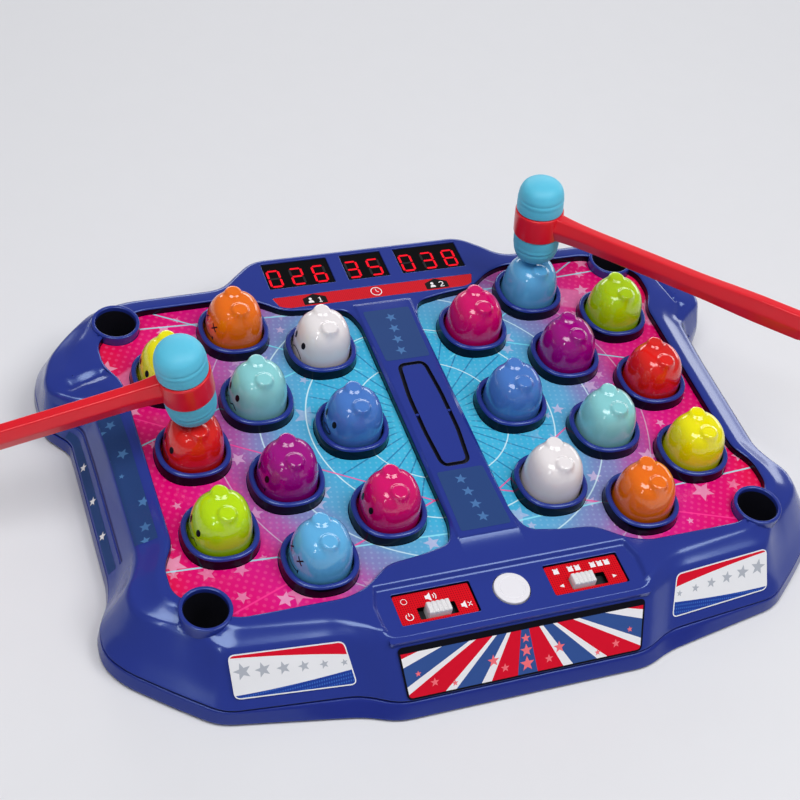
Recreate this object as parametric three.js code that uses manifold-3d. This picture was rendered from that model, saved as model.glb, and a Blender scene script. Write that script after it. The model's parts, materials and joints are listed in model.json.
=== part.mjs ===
// Electronic mole pounding game: a moulded housing with twenty sprung moles, a display, a control deck,
// four corner cups and two soft-headed hammers.
// Millimetres, +Z up. The origin lies on the housing's flat underside, below the centre of the playing
// field.
// +Y points to the display, and the two players sit at the -X and +X ends.

import * as THREE from 'three';
import { mergeVertices } from 'three/addons/utils/BufferGeometryUtils.js';
import Module from 'manifold-3d';

const wasm = await Module();
wasm.setup();

// Housing: reach in plan, and the heights of its levels
const halfLength = 268;
const halfDepth = 212;
const partingHeight = 12;
const beltHeight = 22;
const edgeHeight = 43.5;
const rimHeight = 50;
const playfieldHeight = 44;
const deckStep = 3.3;
const wall = 2.5;
const fitGap = 0.3;
const overrun = 5;
const plateThickness = 2.1;
const printThickness = 0.6;
const topSkin = 2.8;

// Moles and the collars that they stand in
const moleHalfWidth = 20.9;
const moleHeight = 34;
const moleWall = 2.4;
const moleFlange = 2.8;
const moleFlangeThickness = 1.5;
const moleTravel = 4;
const earRadius = 4.6;
const earRise = 3.3;
const earOffset = 11.3;
const earTipShare = 0.6;
const earShoulderShare = 0.4;
const plungerRadius = 3;
const collarGap = 1.2;
const collarWidth = 3.6;
const collarHeight = 9.2;
const collarDraft = 0.8;
const roundness = 2.3;
const roundSides = 12;
const boreSides = 6;

// Corner cups
const cupRadius = 17.6;
const cupWall = 2.6;
const cupTaper = 1.8;
const cupFloor = 3;
const cupRise = 1.5;
const cupSides = 20;

// Rubber key mats and circuit boards under the moles
const matThickness = 1.1;
const domeSpare = 1;
const domeRadius = 5.5;
const domeTopShare = 0.62;
const boardThickness = 1.6;
const postRadius = 3.6;
const postSides = 8;

// Display console
const windowRecess = 0.8;
const lensThickness = 1;
const windowDepth = 23.6;
const digitBlockHeight = 6;
const digitInset = 1.6;
const stripDepth = 12.4;
const stripWidthBack = 164.6;
const stripWidthFront = 155.6;
const recessDepth = 1;

// Control deck
const plateWidth = 54;
const plateDepth = 23.4;
const controlPlateThickness = 0.5;
const slotLength = 27;
const slotWidth = 9.7;
const knobLength = 16;
const knobClearance = 0.35;
const knobRise = 5.5;
const knobBelow = 2.2;
const knobGroove = 0.8;
const knobRibs = 5;
const modeTravel = 9.6;
const buttonRadius = 12.5;
const buttonRise = 1.4;
const buttonFlange = 2;
const buttonFlangeThickness = 1.3;
const buttonTravel = 2;
const buttonStemRadius = 4;
const buttonSides = 24;
const controlBoardDrop = 11;

// Base: battery bay, door, speaker and feet
const floorThickness = 2.5;
const cellRadius = 7.1;
const cellLength = 50;
const cellCount = 3;
const cellGap = 0.4;
const cellSides = 16;
const bayWall = 1.6;
const bayClearance = 1.5;
const doorGap = 0.5;
const doorTongueReach = 9;
const doorTongueWidth = 12;
const doorBossRadius = 5.4;
const doorBossHeight = 7;
const doorScrewRadius = 2.2;
const doorScrewLength = 3.6;
const speakerRadius = 25;
const speakerHeight = 14;
const speakerRimHeight = 4.7;
const speakerMagnetRadius = 14;
const speakerHoleRadius = 2;
const speakerHoleRing = 9;
const speakerHoleCount = 6;
const footRadius = 7;
const footSeat = 1.2;
const footHeight = 1.5;
const footSides = 16;

// Printed labels on the front
const labelThickness = 0.6;

// Hammers
const headLength = 72;
const collarLength = 21;
const headCollarRadius = 18.6;
const headBarrel = 0.5;
const capRadius = 17.6;
const capTipShare = 0.3;
const pegRadius = 8;
const pegLength = 10;
const headSides = 20;
const handleReach = 225;
const handleHeight = 17.4;
const handleThickness = 12;
const gripHeight = 21;
const gripLength = 95;
const handleRootReach = 44;
const leftHammerTilt = THREE.MathUtils.degToRad(13.3);
const leftHammerTurn = THREE.MathUtils.degToRad(180);
const rightHammerTilt = THREE.MathUtils.degToRad(-8);
const rightHammerTurn = THREE.MathUtils.degToRad(-53.1);
const strikeOffset = 4;
const leftHammerLift = 0.96;
const rightHammerLift = 1.05;

// Outlines in plan, as shares of halfLength and halfDepth. Each lists the +X side from the back to the
// front,
// and all five have the same stations, so the housing is lofted from one to the next.
const footShares = [
  [0, 0.882], [0.347, 0.882], [0.459, 0.802], [0.761, 0.795], [0.866, 0.741], [0.94, 0.675],
  [0.981, 0.604],
  [1, 0.528], [1, 0.415], [1, 0.311], [0.974, 0.255], [0.944, 0.198], [0.942, 0.094], [0.942, -0.33],
  [0.959, -0.415], [0.996, -0.491], [1, -0.594], [0.963, -0.675], [0.866, -0.783], [0.769, -0.882],
  [0.418, -0.96], [0.343, -1], [0, -1],
];
const partingShares = [
  [0, 0.873], [0.343, 0.873], [0.453, 0.79], [0.754, 0.783], [0.858, 0.731], [0.929, 0.665],
  [0.974, 0.599],
  [0.994, 0.524], [0.996, 0.415], [0.996, 0.316], [0.968, 0.259], [0.937, 0.203], [0.937, 0.094],
  [0.937, -0.33],
  [0.953, -0.41], [0.989, -0.486], [0.993, -0.59], [0.953, -0.665], [0.854, -0.774], [0.754, -0.875],
  [0.422, -0.913], [0.336, -0.969], [0, -0.969],
];
const beltShares = [
  [0, 0.868], [0.34, 0.868], [0.446, 0.774], [0.746, 0.764], [0.843, 0.717], [0.91, 0.656], [0.959, 0.594],
  [0.985, 0.519], [0.993, 0.415], [0.993, 0.321], [0.959, 0.264], [0.914, 0.203], [0.909, 0.094],
  [0.909, -0.33],
  [0.929, -0.406], [0.966, -0.476], [0.966, -0.575], [0.925, -0.642], [0.828, -0.745], [0.743, -0.835],
  [0.433, -0.873], [0.34, -0.934], [0, -0.934],
];
const edgeShares = [
  [0, 0.856], [0.332, 0.856], [0.44, 0.743], [0.735, 0.738], [0.81, 0.712], [0.858, 0.66], [0.907, 0.599],
  [0.955, 0.528], [0.985, 0.425], [0.978, 0.34], [0.925, 0.283], [0.884, 0.217], [0.873, 0.094],
  [0.873, -0.34],
  [0.896, -0.415], [0.922, -0.472], [0.918, -0.552], [0.873, -0.608], [0.799, -0.66], [0.743, -0.755],
  [0.455, -0.785], [0.343, -0.856], [0, -0.856],
];
const rimShares = [
  [0, 0.844], [0.321, 0.844], [0.433, 0.724], [0.72, 0.719], [0.791, 0.7], [0.826, 0.656], [0.843, 0.599],
  [0.888, 0.533], [0.925, 0.434], [0.914, 0.358], [0.858, 0.311], [0.817, 0.255], [0.81, 0.094],
  [0.81, -0.34],
  [0.825, -0.406], [0.847, -0.462], [0.854, -0.528], [0.828, -0.575], [0.776, -0.618], [0.713, -0.698],
  [0.451, -0.741], [0.343, -0.825], [0, -0.825],
];

// The right half of the playing field, its inner walls seen from above
const fieldShares = [
  [0.087, 0.462], [0.108, 0.538], [0.194, 0.561], [0.286, 0.573], [0.358, 0.642], [0.414, 0.667],
  [0.687, 0.665], [0.758, 0.618], [0.822, 0.533], [0.822, 0.434], [0.787, 0.351],
  [0.787, -0.351], [0.822, -0.434], [0.822, -0.533], [0.758, -0.618], [0.687, -0.665],
  [0.414, -0.667], [0.358, -0.642], [0.286, -0.573], [0.194, -0.561], [0.108, -0.538], [0.087, -0.462],
];
const consoleCavityShares = [
  [-0.28, 0.592], [0.28, 0.592], [0.313, 0.645], [0.313, 0.825], [-0.313, 0.825], [-0.313, 0.645],
];
const deckCavityShares = [
  [-0.32, -0.828], [0.32, -0.828], [0.313, -0.645], [0.28, -0.592], [-0.28, -0.592], [-0.313, -0.645],
];
const deckCutShares = [
  [-0.354, -0.9], [0.354, -0.9], [0.362, -0.755], [0.321, -0.684], [-0.321, -0.684], [-0.362, -0.755],
];
const dividerCavityShares = [[-0.067, -0.5], [0.067, -0.5], [0.067, 0.5], [-0.067, 0.5]];
const shoulderCavityShares = [
  [0.847, 0.528], [0.88, 0.509], [0.907, 0.434], [0.9, 0.377], [0.854, 0.34], [0.843, 0.396],
];
const moleBoardShares = [
  [0.142, -0.462], [0.358, -0.623], [0.56, -0.623], [0.757, -0.453], [0.757, 0.453], [0.56, 0.623],
  [0.358, 0.623], [0.142, 0.462],
];
const cupShares = [0.758, 0.618];
const molePlaceShares = [
  ['yellow', 0.665, 0.342], ['red', 0.665, 0], ['lime', 0.665, -0.342],
  ['orange', 0.448, 0.512], ['teal', 0.455, 0.178], ['purple', 0.455, -0.178],
  ['light_blue', 0.448, -0.512],
  ['white', 0.228, 0.37], ['blue', 0.232, 0], ['magenta', 0.228, -0.37],
];
const boardPostShares = [[0.26, 0.47], [0.26, -0.47], [0.45, 0], [0.67, 0.42], [0.67, -0.42]];
const screwPostShares = [[0, 0.4], [0, -0.4], [0.83, 0.19], [0.83, -0.19], [0.485, 0.7], [0.485, -0.7]];
const displayPlaceShare = 0.767;
const windowShares = [[-0.203, 0.2015], [0, 0.1306], [0.203, 0.2015]];
const stripPlaceShare = 0.612;
const startPlaceShare = -0.744;
const platePlaceShares = [0.205, -0.745];
const slotPlaceShare = -0.768;
const displayBoardShares = [[-0.295, 0.7], [0.295, 0.7], [0.295, 0.815], [-0.295, 0.815]];
const controlBoardShares = [[-0.3, -0.79], [0.3, -0.79], [0.3, -0.69], [-0.3, -0.69]];
const displayPostShares = [[-0.26, 0.72], [0.26, 0.72], [-0.26, 0.795], [0.26, 0.795]];
const controlPostShares = [[-0.28, -0.78], [0.28, -0.78], [-0.12, -0.7], [0.12, -0.7]];
const footPlaceShares = [[0.8, 0.6], [0.8, -0.62]];
const bayPlaceShares = [-0.27, 0.05];
const speakerPlaceShares = [0.25, 0.05];

// Labels on the sloping front, as corner places in plan and levels between the parting and the edge
const nameplateTopShares = [0.336, 0.93];
const nameplateBottomShares = [0.318, 0.03];
const sideLabelShares = [[0.4526, 0.93], [0.7345, 0.93], [0.7285, 0.2], [0.43, 0.2]];

// Derived heights
const plateTop = playfieldHeight - printThickness - fitGap;
const plateBottom = plateTop - plateThickness;
const deckHeight = rimHeight - deckStep;
const deckUnderside = deckHeight - wall;
const consoleUnderside = rimHeight - topSkin;
const cavityTopShare = (plateBottom - beltHeight) / (edgeHeight - beltHeight);
const collarInner = moleHalfWidth + collarGap;
const collarOuter = collarInner + collarWidth + collarDraft;
const flangeTop = plateBottom - fitGap;
const flangeBottom = flangeTop - moleFlangeThickness;
const plungerBottom = flangeBottom - moleFlangeThickness;
const domeTop = plungerBottom - fitGap;
const domeHeight = moleTravel + domeSpare;
const matTop = domeTop - domeHeight;
const moleBoardTop = matTop - matThickness - fitGap;
const moleBoardBottom = moleBoardTop - boardThickness;
const floorTop = floorThickness;
const earTop = playfieldHeight + moleHeight + earRise;
const knobWidth = slotWidth - knobClearance - knobClearance;
const controlPlateTop = deckHeight - recessDepth + fitGap + controlPlateThickness;
const knobBottom = deckUnderside - knobBelow;
const controlBoardTop = deckHeight - controlBoardDrop;
const controlBoardBottom = controlBoardTop - boardThickness;
const lensTop = consoleUnderside - fitGap;
const lensBottom = lensTop - lensThickness;
const digitTop = lensBottom - fitGap;
const displayBoardTop = digitTop - digitBlockHeight;
const displayBoardBottom = displayBoardTop - boardThickness;

const game = new THREE.Group();

function addPart(name, geometry, color, roughness, metalness = 0, parent = game) {
  geometry.computeVertexNormals();
  const mesh = new THREE.Mesh(geometry, new THREE.MeshStandardMaterial({ color, roughness, metalness }));
  mesh.name = name;
  parent.add(mesh);
  return mesh;
}

function inPlan(shares) {
  return shares.map(([shareX, shareY]) => [shareX * halfLength, shareY * halfDepth]);
}

function mirrored(points) {
  return points.map(([x, y]) => [-x, y]).reverse();
}

function bothSides(shares) {
  const right = inPlan(shares);
  const left = mirrored(right).slice(1, -1);
  return right.concat(left);
}

function anticlockwise(points) {
  const turned = THREE.ShapeUtils.area(points.map(([x, y]) => new THREE.Vector2(x, y))) < 0;
  return turned ? points.slice().reverse() : points;
}

// Moves each side of an anticlockwise outline inwards by a distance
function insetBy(points, distance) {
  return points.map((point, i) => {
    const before = points[(i + points.length - 1) % points.length];
    const after = points[(i + 1) % points.length];
    const here = new THREE.Vector2(...point);
    const first = here.clone().sub(new THREE.Vector2(...before)).normalize();
    const second = new THREE.Vector2(...after).sub(here).normalize();
    const normal = new THREE.Vector2(-first.y - second.y, first.x + second.x).normalize();
    const reach = distance / Math.max(normal.dot(new THREE.Vector2(-first.y, first.x)), Math.SQRT1_2);
    return [point[0] + normal.x * reach, point[1] + normal.y * reach];
  });
}

function blend(from, to, share) {
  return from.map(([x, y], i) => [x + (to[i][0] - x) * share, y + (to[i][1] - y) * share]);
}

// A closed solid through rings of equal length, each an anticlockwise outline at its own height
function loft(levels) {
  const count = levels[0].points.length;
  const positions = levels.flatMap(({ points, z }) => points.flatMap(([x, y]) => [x, y, z]));
  const faces = [];
  for (let level = 0; level < levels.length - 1; level++) {
    for (let i = 0; i < count; i++) {
      const next = (i + 1) % count;
      const a = level * count + i;
      const b = level * count + next;
      faces.push(a, b, b + count, a, b + count, a + count);
    }
  }
  const last = (levels.length - 1) * count;
  capTriangles(levels[0].points).forEach(([a, b, c]) => faces.push(a, c, b));
  capTriangles(levels.at(-1).points).forEach(([a, b, c]) => faces.push(last + a, last + b, last + c));
  const geometry = new THREE.BufferGeometry();
  geometry.setAttribute('position', new THREE.Float32BufferAttribute(positions, 3));
  geometry.setIndex(faces);
  return geometry;
}

function capTriangles(points) {
  return THREE.ShapeUtils.triangulateShape(points.map(([x, y]) => new THREE.Vector2(x, y)), []);
}

function slab(points, bottom, top) {
  const outline = anticlockwise(points);
  return loft([{ points: outline, z: bottom }, { points: outline, z: top }]);
}

function rectangle(width, depth) {
  const x = width / 2;
  const y = depth / 2;
  return [[-x, -y], [x, -y], [x, y], [-x, y]];
}

// A rounded square between a circle and a square, with its flats facing the board's axes
function roundedSquare(half, sides = roundSides) {
  return Array.from({ length: sides }, (unused, i) => {
    const angle = (i * 2 * Math.PI) / sides;
    const cos = Math.cos(angle);
    const sin = Math.sin(angle);
    const reach = half / (Math.abs(cos) ** roundness + Math.abs(sin) ** roundness) ** (1 / roundness);
    return [cos * reach, sin * reach];
  });
}

function circle(radius, sides) {
  return Array.from({ length: sides }, (unused, i) => {
    const angle = (i * 2 * Math.PI) / sides;
    return [Math.cos(angle) * radius, Math.sin(angle) * radius];
  });
}

function shifted(points, x, y) {
  return points.map(([px, py]) => [px + x, py + y]);
}

// A turned solid from its widths at rising heights
function turned(profile, sides) {
  return loft(profile.map(([radius, z]) => ({ points: circle(radius, sides), z })));
}

function column(x, y, radius, bottom, top, sides = postSides) {
  const outline = shifted(circle(radius, sides), x, y);
  return slab(outline, bottom, top);
}

function solid(geometry) {
  const bare = geometry.clone();
  bare.deleteAttribute('normal');
  bare.deleteAttribute('uv');
  const merged = mergeVertices(bare);
  const vertProperties = new Float32Array(merged.attributes.position.array);
  const triVerts = new Uint32Array(merged.index.array);
  return new wasm.Manifold(new wasm.Mesh({ numProp: 3, vertProperties, triVerts }));
}

function surface(body) {
  const mesh = body.getMesh();
  const geometry = new THREE.BufferGeometry();
  geometry.setAttribute('position', new THREE.Float32BufferAttribute(mesh.vertProperties, 3));
  geometry.setIndex(new THREE.Uint32BufferAttribute(mesh.triVerts, 1));
  return geometry;
}

function cutAll(body, geometries) {
  return geometries.reduce((rest, geometry) => rest.subtract(solid(geometry)), body);
}

function joinAll(body, geometries) {
  return geometries.reduce((rest, geometry) => rest.add(solid(geometry)), body);
}

function eachCorner(shares, make) {
  const [x, y] = [shares[0] * halfLength, shares[1] * halfDepth];
  return [[x, y], [-x, y], [x, -y], [-x, -y]].map(([cornerX, cornerY]) => make(cornerX, cornerY));
}

// Each mole's name, place and side: the far side repeats the near one turned half round
function molePlaces() {
  return molePlaceShares.flatMap(([color, shareX, shareY]) => {
    const x = shareX * halfLength;
    const y = shareY * halfDepth;
    return [{ name: `mole_left_${color}`, color, x: -x, y },
      { name: `mole_right_${color}`, color, x, y: -y }];
  });
}

function fieldOutline() {
  return anticlockwise(inPlan(fieldShares));
}

// Top housing: the lofted shell with its playing-field plates, collars, console, divider and control deck
function topHousing() {
  const parting = anticlockwise(bothSides(partingShares));
  const belt = anticlockwise(bothSides(beltShares));
  const edge = anticlockwise(bothSides(edgeShares));
  const rim = anticlockwise(bothSides(rimShares));
  const outside = loft([
    { points: parting, z: partingHeight + fitGap },
    { points: belt, z: beltHeight },
    { points: edge, z: edgeHeight },
    { points: rim, z: rimHeight },
  ]);
  const inside = loft([
    { points: insetBy(parting, wall), z: partingHeight - overrun },
    { points: insetBy(parting, wall), z: partingHeight + fitGap },
    { points: insetBy(belt, wall), z: beltHeight },
    { points: insetBy(blend(belt, edge, cavityTopShare), wall), z: plateBottom },
  ]);
  const right = fieldOutline();
  const left = anticlockwise(mirrored(right));
  const shoulder = inPlan(shoulderCavityShares);
  let body = cutAll(solid(outside), [
    inside,
    slab(right, plateTop, rimHeight + overrun),
    slab(left, plateTop, rimHeight + overrun),
    slab(inPlan(deckCutShares), deckHeight, rimHeight + overrun),
    slab(inPlan(consoleCavityShares), plateBottom - overrun, consoleUnderside),
    slab(inPlan(deckCavityShares), plateBottom - overrun, deckUnderside),
    slab(inPlan(dividerCavityShares), plateBottom - overrun, consoleUnderside),
    slab(shoulder, plateBottom - overrun, consoleUnderside),
    slab(mirrored(shoulder), plateBottom - overrun, consoleUnderside),
  ]);
  body = joinAll(body, molePlaces().map(collarWall));
  body = cutAll(body, molePlaces().map(collarBore));
  body = cutAll(body, eachCorner(cupShares, cupHole));
  body = cutAll(body, consoleCuts());
  body = cutAll(body, deckCuts());
  return joinAll(body, screwPosts());
}

function collarWall({ x, y }) {
  return loft([
    { points: shifted(roundedSquare(collarOuter), x, y), z: plateTop - plateThickness / 2 },
    { points: shifted(roundedSquare(collarOuter), x, y), z: playfieldHeight },
    { points: shifted(roundedSquare(collarOuter - collarDraft), x, y), z: playfieldHeight + collarHeight },
  ]);
}

function collarBore({ x, y }) {
  const outline = shifted(roundedSquare(collarInner), x, y);
  return slab(outline, plateBottom - overrun, playfieldHeight + collarHeight + overrun);
}

function cupHole(x, y) {
  return column(x, y, cupRadius + fitGap, partingHeight - overrun, rimHeight + overrun, cupSides);
}

function windowOutline(centre, width, margin) {
  const outline = rectangle(width + margin + margin, windowDepth + margin + margin);
  return shifted(outline, centre, displayPlaceShare * halfDepth);
}

// The centre and width of each window along the console
function windows() {
  return windowShares.map(([centreShare, widthShare]) =>
    [centreShare * halfLength, widthShare * halfLength]);
}

function stripOutline(margin) {
  const back = stripWidthBack / 2 + margin;
  const front = stripWidthFront / 2 + margin;
  const half = stripDepth / 2 + margin;
  return shifted([[-front, -half], [front, -half], [back, half], [-back, half]], 0,
    stripPlaceShare * halfDepth);
}

function consoleCuts() {
  const holes = windows().map(([centre, width]) =>
    slab(windowOutline(centre, width, 0), lensBottom, rimHeight + overrun));
  return [...holes, slab(stripOutline(fitGap), rimHeight - recessDepth, rimHeight + overrun)];
}

function platePlace(side) {
  return [side * platePlaceShares[0] * halfLength, platePlaceShares[1] * halfDepth];
}

function slotOutline(side, margin) {
  const outline = rectangle(slotLength + margin + margin, slotWidth + margin + margin);
  return shifted(outline, platePlace(side)[0], slotPlaceShare * halfDepth);
}

function deckCuts() {
  const plates = [-1, 1].flatMap((side) => {
    const recess = shifted(rectangle(plateWidth + fitGap + fitGap, plateDepth + fitGap + fitGap),
      ...platePlace(side));
    return [
      slab(recess, deckHeight - recessDepth, rimHeight + overrun),
      slab(slotOutline(side, 0), deckUnderside - overrun, rimHeight + overrun),
    ];
  });
  const startY = startPlaceShare * halfDepth;
  const hole = column(0, startY, buttonRadius + fitGap, deckUnderside - overrun, rimHeight + overrun,
    buttonSides);
  return [...plates, hole];
}

// Posts that the case screws run into, standing on the bottom housing's floor
function screwPosts() {
  const low = floorTop + fitGap;
  return screwPostShares.flatMap(([shareX, shareY]) => {
    const x = shareX * halfLength;
    const y = shareY * halfDepth;
    const top = shareX === 0 ? consoleUnderside + topSkin / 2 : plateTop - plateThickness / 2;
    const right = column(x, y, postRadius, low, top);
    return shareX === 0 ? [right] : [right, column(-x, y, postRadius, low, top)];
  });
}

// Bottom housing: the tray with posts for the boards, the battery bay, the speaker seat and the foot
// recesses
function bottomHousing() {
  const foot = anticlockwise(bothSides(footShares));
  const parting = anticlockwise(bothSides(partingShares));
  const outside = loft([{ points: foot, z: 0 }, { points: parting, z: partingHeight }]);
  const inside = loft([
    { points: insetBy(foot, wall), z: floorTop },
    { points: insetBy(parting, wall), z: partingHeight },
    { points: insetBy(parting, wall), z: partingHeight + overrun },
  ]);
  const boardPosts = boardPostShares.flatMap(([shareX, shareY]) => [-1, 1].map((side) =>
    column(side * shareX * halfLength, shareY * halfDepth, postRadius, floorTop / 2,
      moleBoardBottom - fitGap)));
  const displayPosts = displayPostShares.map(([shareX, shareY]) =>
    column(shareX * halfLength, shareY * halfDepth, postRadius, floorTop / 2,
      displayBoardBottom - fitGap));
  const controlPosts = controlPostShares.map(([shareX, shareY]) =>
    column(shareX * halfLength, shareY * halfDepth, postRadius, floorTop / 2,
      controlBoardBottom - fitGap));
  let body = joinAll(solid(outside).subtract(solid(inside)),
    [...boardPosts, ...displayPosts, ...controlPosts]);
  const boss = column(...doorScrewPlace(), doorBossRadius, floorTop / 2, doorBossHeight, footSides);
  body = joinAll(body, [bayBox(bayWall, floorTop / 2, bayTop() + bayWall), boss]);
  body = cutAll(body, [
    bayBox(0, -overrun, bayTop()),
    slab(doorOutline(0), -overrun, doorThickness() + fitGap),
    column(...doorScrewPlace(), doorScrewRadius + fitGap, -overrun, doorScrewLength + fitGap + fitGap,
      footSides),
  ]);
  return cutAll(body, [...footSeats(), ...speakerHoles()]);
}

function footSeats() {
  const seatTop = footSeat + fitGap;
  return footPlaceShares.flatMap(([shareX, shareY]) => [-1, 1].map((side) =>
    column(side * shareX * halfLength, shareY * halfDepth, footRadius + fitGap, -overrun, seatTop,
      footSides)));
}

function bayPlace() {
  return [bayPlaceShares[0] * halfLength, bayPlaceShares[1] * halfDepth];
}

function bayWidth() {
  return cellLength + bayClearance + bayClearance;
}

function bayDepth() {
  return cellCount * (cellRadius + cellRadius) + (cellCount - 1) * cellGap + bayClearance + bayClearance;
}

function bayTop() {
  return doorThickness() + fitGap + cellRadius + cellRadius + bayClearance;
}

function doorThickness() {
  return floorThickness - fitGap - fitGap;
}

function bayBox(margin, bottom, top) {
  const outline = rectangle(bayWidth() + margin + margin, bayDepth() + margin + margin);
  return slab(shifted(outline, ...bayPlace()), bottom, top);
}

// The bay's opening with a tongue at its -X end for the door's screw, drawn in by a margin
function doorOutline(margin) {
  const x = bayWidth() / 2 - margin;
  const y = bayDepth() / 2 - margin;
  const tongueX = bayWidth() / 2 + doorTongueReach - margin;
  const tongueY = doorTongueWidth / 2 - margin;
  const outline = [
    [-x, -y], [x, -y], [x, y], [-x, y], [-x, tongueY], [-tongueX, tongueY], [-tongueX, -tongueY],
    [-x, -tongueY],
  ];
  return shifted(outline, ...bayPlace());
}

function doorScrewPlace() {
  const [x, y] = bayPlace();
  return [x - bayWidth() / 2 - doorTongueReach / 2, y];
}

function speakerHoles() {
  const [x, y] = [speakerPlaceShares[0] * halfLength, speakerPlaceShares[1] * halfDepth];
  const ring = circle(speakerHoleRing, speakerHoleCount);
  return [[0, 0], ...ring].map(([dx, dy]) =>
    column(x + dx, y + dy, speakerHoleRadius, -overrun, floorTop + overrun));
}

// Printed sheet of one half of the playing field, with holes for the collars and cups
function playfield(side) {
  const inner = insetBy(fieldOutline(), fitGap);
  const outline = side > 0 ? inner : anticlockwise(mirrored(inner));
  const sheet = solid(slab(outline, plateTop + fitGap, playfieldHeight));
  const collars = molePlaces().filter(({ x }) => x * side > 0).map(({ x, y }) =>
    slab(shifted(roundedSquare(collarOuter + fitGap), x, y), plateTop - overrun,
      playfieldHeight + overrun));
  const cups = [-1, 1].map((end) => column(side * cupShares[0] * halfLength,
    end * cupShares[1] * halfDepth,
    cupRadius + fitGap, plateTop - overrun, playfieldHeight + overrun, cupSides));
  return cutAll(sheet, [...collars, ...cups]);
}

// One mole: a hollow moulding with a flange that holds it under the plate, two ears and a plunger inside
function moleBody() {
  const profileShares = [
    [0.98, 0.27], [0.875, 0.53], [0.7, 0.775], [0.42, 0.93], [0.1, 1],
  ];
  const low = flangeBottom - playfieldHeight;
  const high = flangeTop - playfieldHeight;
  const rings = [
    [moleHalfWidth + moleFlange, low], [moleHalfWidth + moleFlange, high], [moleHalfWidth, high],
    ...profileShares.map(([widthShare, heightShare]) =>
      [widthShare * moleHalfWidth, heightShare * moleHeight]),
  ];
  const outside = loft(rings.map(([half, z]) => ({ points: roundedSquare(half), z })));
  const innerShares = [[1, 0], [0.86, 0.5], [0.42, 0.85]];
  const innerHalf = moleHalfWidth - moleWall;
  const inside = loft([
    { points: roundedSquare(innerHalf, boreSides), z: low - overrun },
    ...innerShares.map(([widthShare, heightShare]) =>
      ({ points: roundedSquare(widthShare * innerHalf, boreSides), z: heightShare * moleHeight })),
  ]);
  const ears = [-1, 1].map((side) => loft([
    { points: shifted(circle(earRadius, boreSides), 0, side * earOffset),
      z: moleHeight - earRadius - earRise },
    { points: shifted(circle(earRadius, boreSides), 0, side * earOffset),
      z: moleHeight + earRise * earShoulderShare },
    { points: shifted(circle(earRadius * earTipShare, boreSides), 0, side * earOffset),
      z: moleHeight + earRise },
  ]));
  const plunger = column(0, 0, plungerRadius, plungerBottom - playfieldHeight, moleHeight - moleWall,
    boreSides);
  return surface(joinAll(solid(outside), ears).subtract(solid(inside)).add(solid(plunger)));
}

function addMoles() {
  const colors = {
    yellow: 0xebe600, red: 0xe11e1e, lime: 0xb4dc00, orange: 0xeb7814, teal: 0x87cdd7, purple: 0x9b007d,
    light_blue: 0x5fafe1, white: 0xebe6e6, blue: 0x5082cd, magenta: 0xcd0064,
  };
  const shape = moleBody();
  molePlaces().forEach(({ name, color, x, y }) => {
    const mole = addPart(name, shape, colors[color], 0.18);
    mole.position.set(x, y, playfieldHeight);
  });
}

function cornerCup() {
  const high = rimHeight + cupRise;
  const low = floorTop + fitGap;
  const outside = turned([[cupRadius - cupTaper, low], [cupRadius, high]], cupSides);
  const inside = turned([
    [cupRadius - cupWall - cupTaper, low + cupFloor], [cupRadius - cupWall, high],
    [cupRadius - cupWall, high + overrun],
  ], cupSides);
  return surface(solid(outside).subtract(solid(inside)));
}

function addCups() {
  const shape = cornerCup();
  const [x, y] = [cupShares[0] * halfLength, cupShares[1] * halfDepth];
  const places = { back_left: [-x, y], back_right: [x, y], front_left: [-x, -y], front_right: [x, -y] };
  Object.entries(places).forEach(([corner, [cupX, cupY]]) => {
    addPart(`cup_${corner}`, shape, 0x2a3f9c, 0.25).position.set(cupX, cupY, 0);
  });
}

function moleBoardOutline(side) {
  const right = inPlan(moleBoardShares);
  return side > 0 ? right : mirrored(right);
}

// Rubber mat with one key dome under each mole of its side
function keyMat(side) {
  const mat = slab(moleBoardOutline(side), matTop - matThickness, matTop);
  const domes = molePlaces().filter(({ x }) => x * side > 0).map(({ x, y }) => loft([
    { points: shifted(circle(domeRadius, postSides), x, y), z: matTop - matThickness / 2 },
    { points: shifted(circle(domeRadius * domeTopShare, postSides), x, y), z: domeTop },
  ]));
  return surface(joinAll(solid(mat), domes));
}

function addBoards() {
  [['left', -1], ['right', 1]].forEach(([end, side]) => {
    addPart(`key_mat_${end}`, keyMat(side), 0x8a8f94, 0.8);
    addPart(`mole_board_${end}`, slab(moleBoardOutline(side), moleBoardBottom, moleBoardTop), 0x1f6b3a,
      0.6);
  });
}

// Display board with a seven-segment block behind each window, and the smoked lens over them
function addDisplay() {
  const board = slab(inPlan(displayBoardShares), displayBoardBottom, displayBoardTop);
  const blocks = windows().map(([centre, width]) =>
    slab(windowOutline(centre, width, -digitInset), displayBoardTop - boardThickness / 2, digitTop));
  addPart('display_board', surface(joinAll(solid(board), blocks)), 0x1f6b3a, 0.6);
  const lens = slab(inPlan(displayBoardShares), lensBottom, lensTop);
  const panes = windows().map(([centre, width]) =>
    slab(windowOutline(centre, width, -fitGap), lensTop - lensThickness / 2, rimHeight - windowRecess));
  addPart('display_lens', surface(joinAll(solid(lens), panes)), 0x120a0c, 0.12);
  const low = rimHeight - recessDepth + fitGap;
  addPart('score_strip', slab(stripOutline(0), low, low + controlPlateThickness), 0xc80f1e, 0.4);
}

function knob(start) {
  const x = start;
  const y = slotPlaceShare * halfDepth;
  const top = controlPlateTop + knobRise;
  const block = slab(shifted(rectangle(knobLength, knobWidth), x, y), knobBottom, top);
  const pitch = knobLength / knobRibs;
  const grooves = Array.from({ length: knobRibs - 1 }, (unused, i) => {
    const centre = x - knobLength / 2 + pitch * (i + 1);
    const outline = shifted(rectangle(knobGroove, knobWidth + overrun), centre, y);
    return slab(outline, top - knobGroove, top + overrun);
  });
  return surface(cutAll(solid(block), grooves));
}

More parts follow.
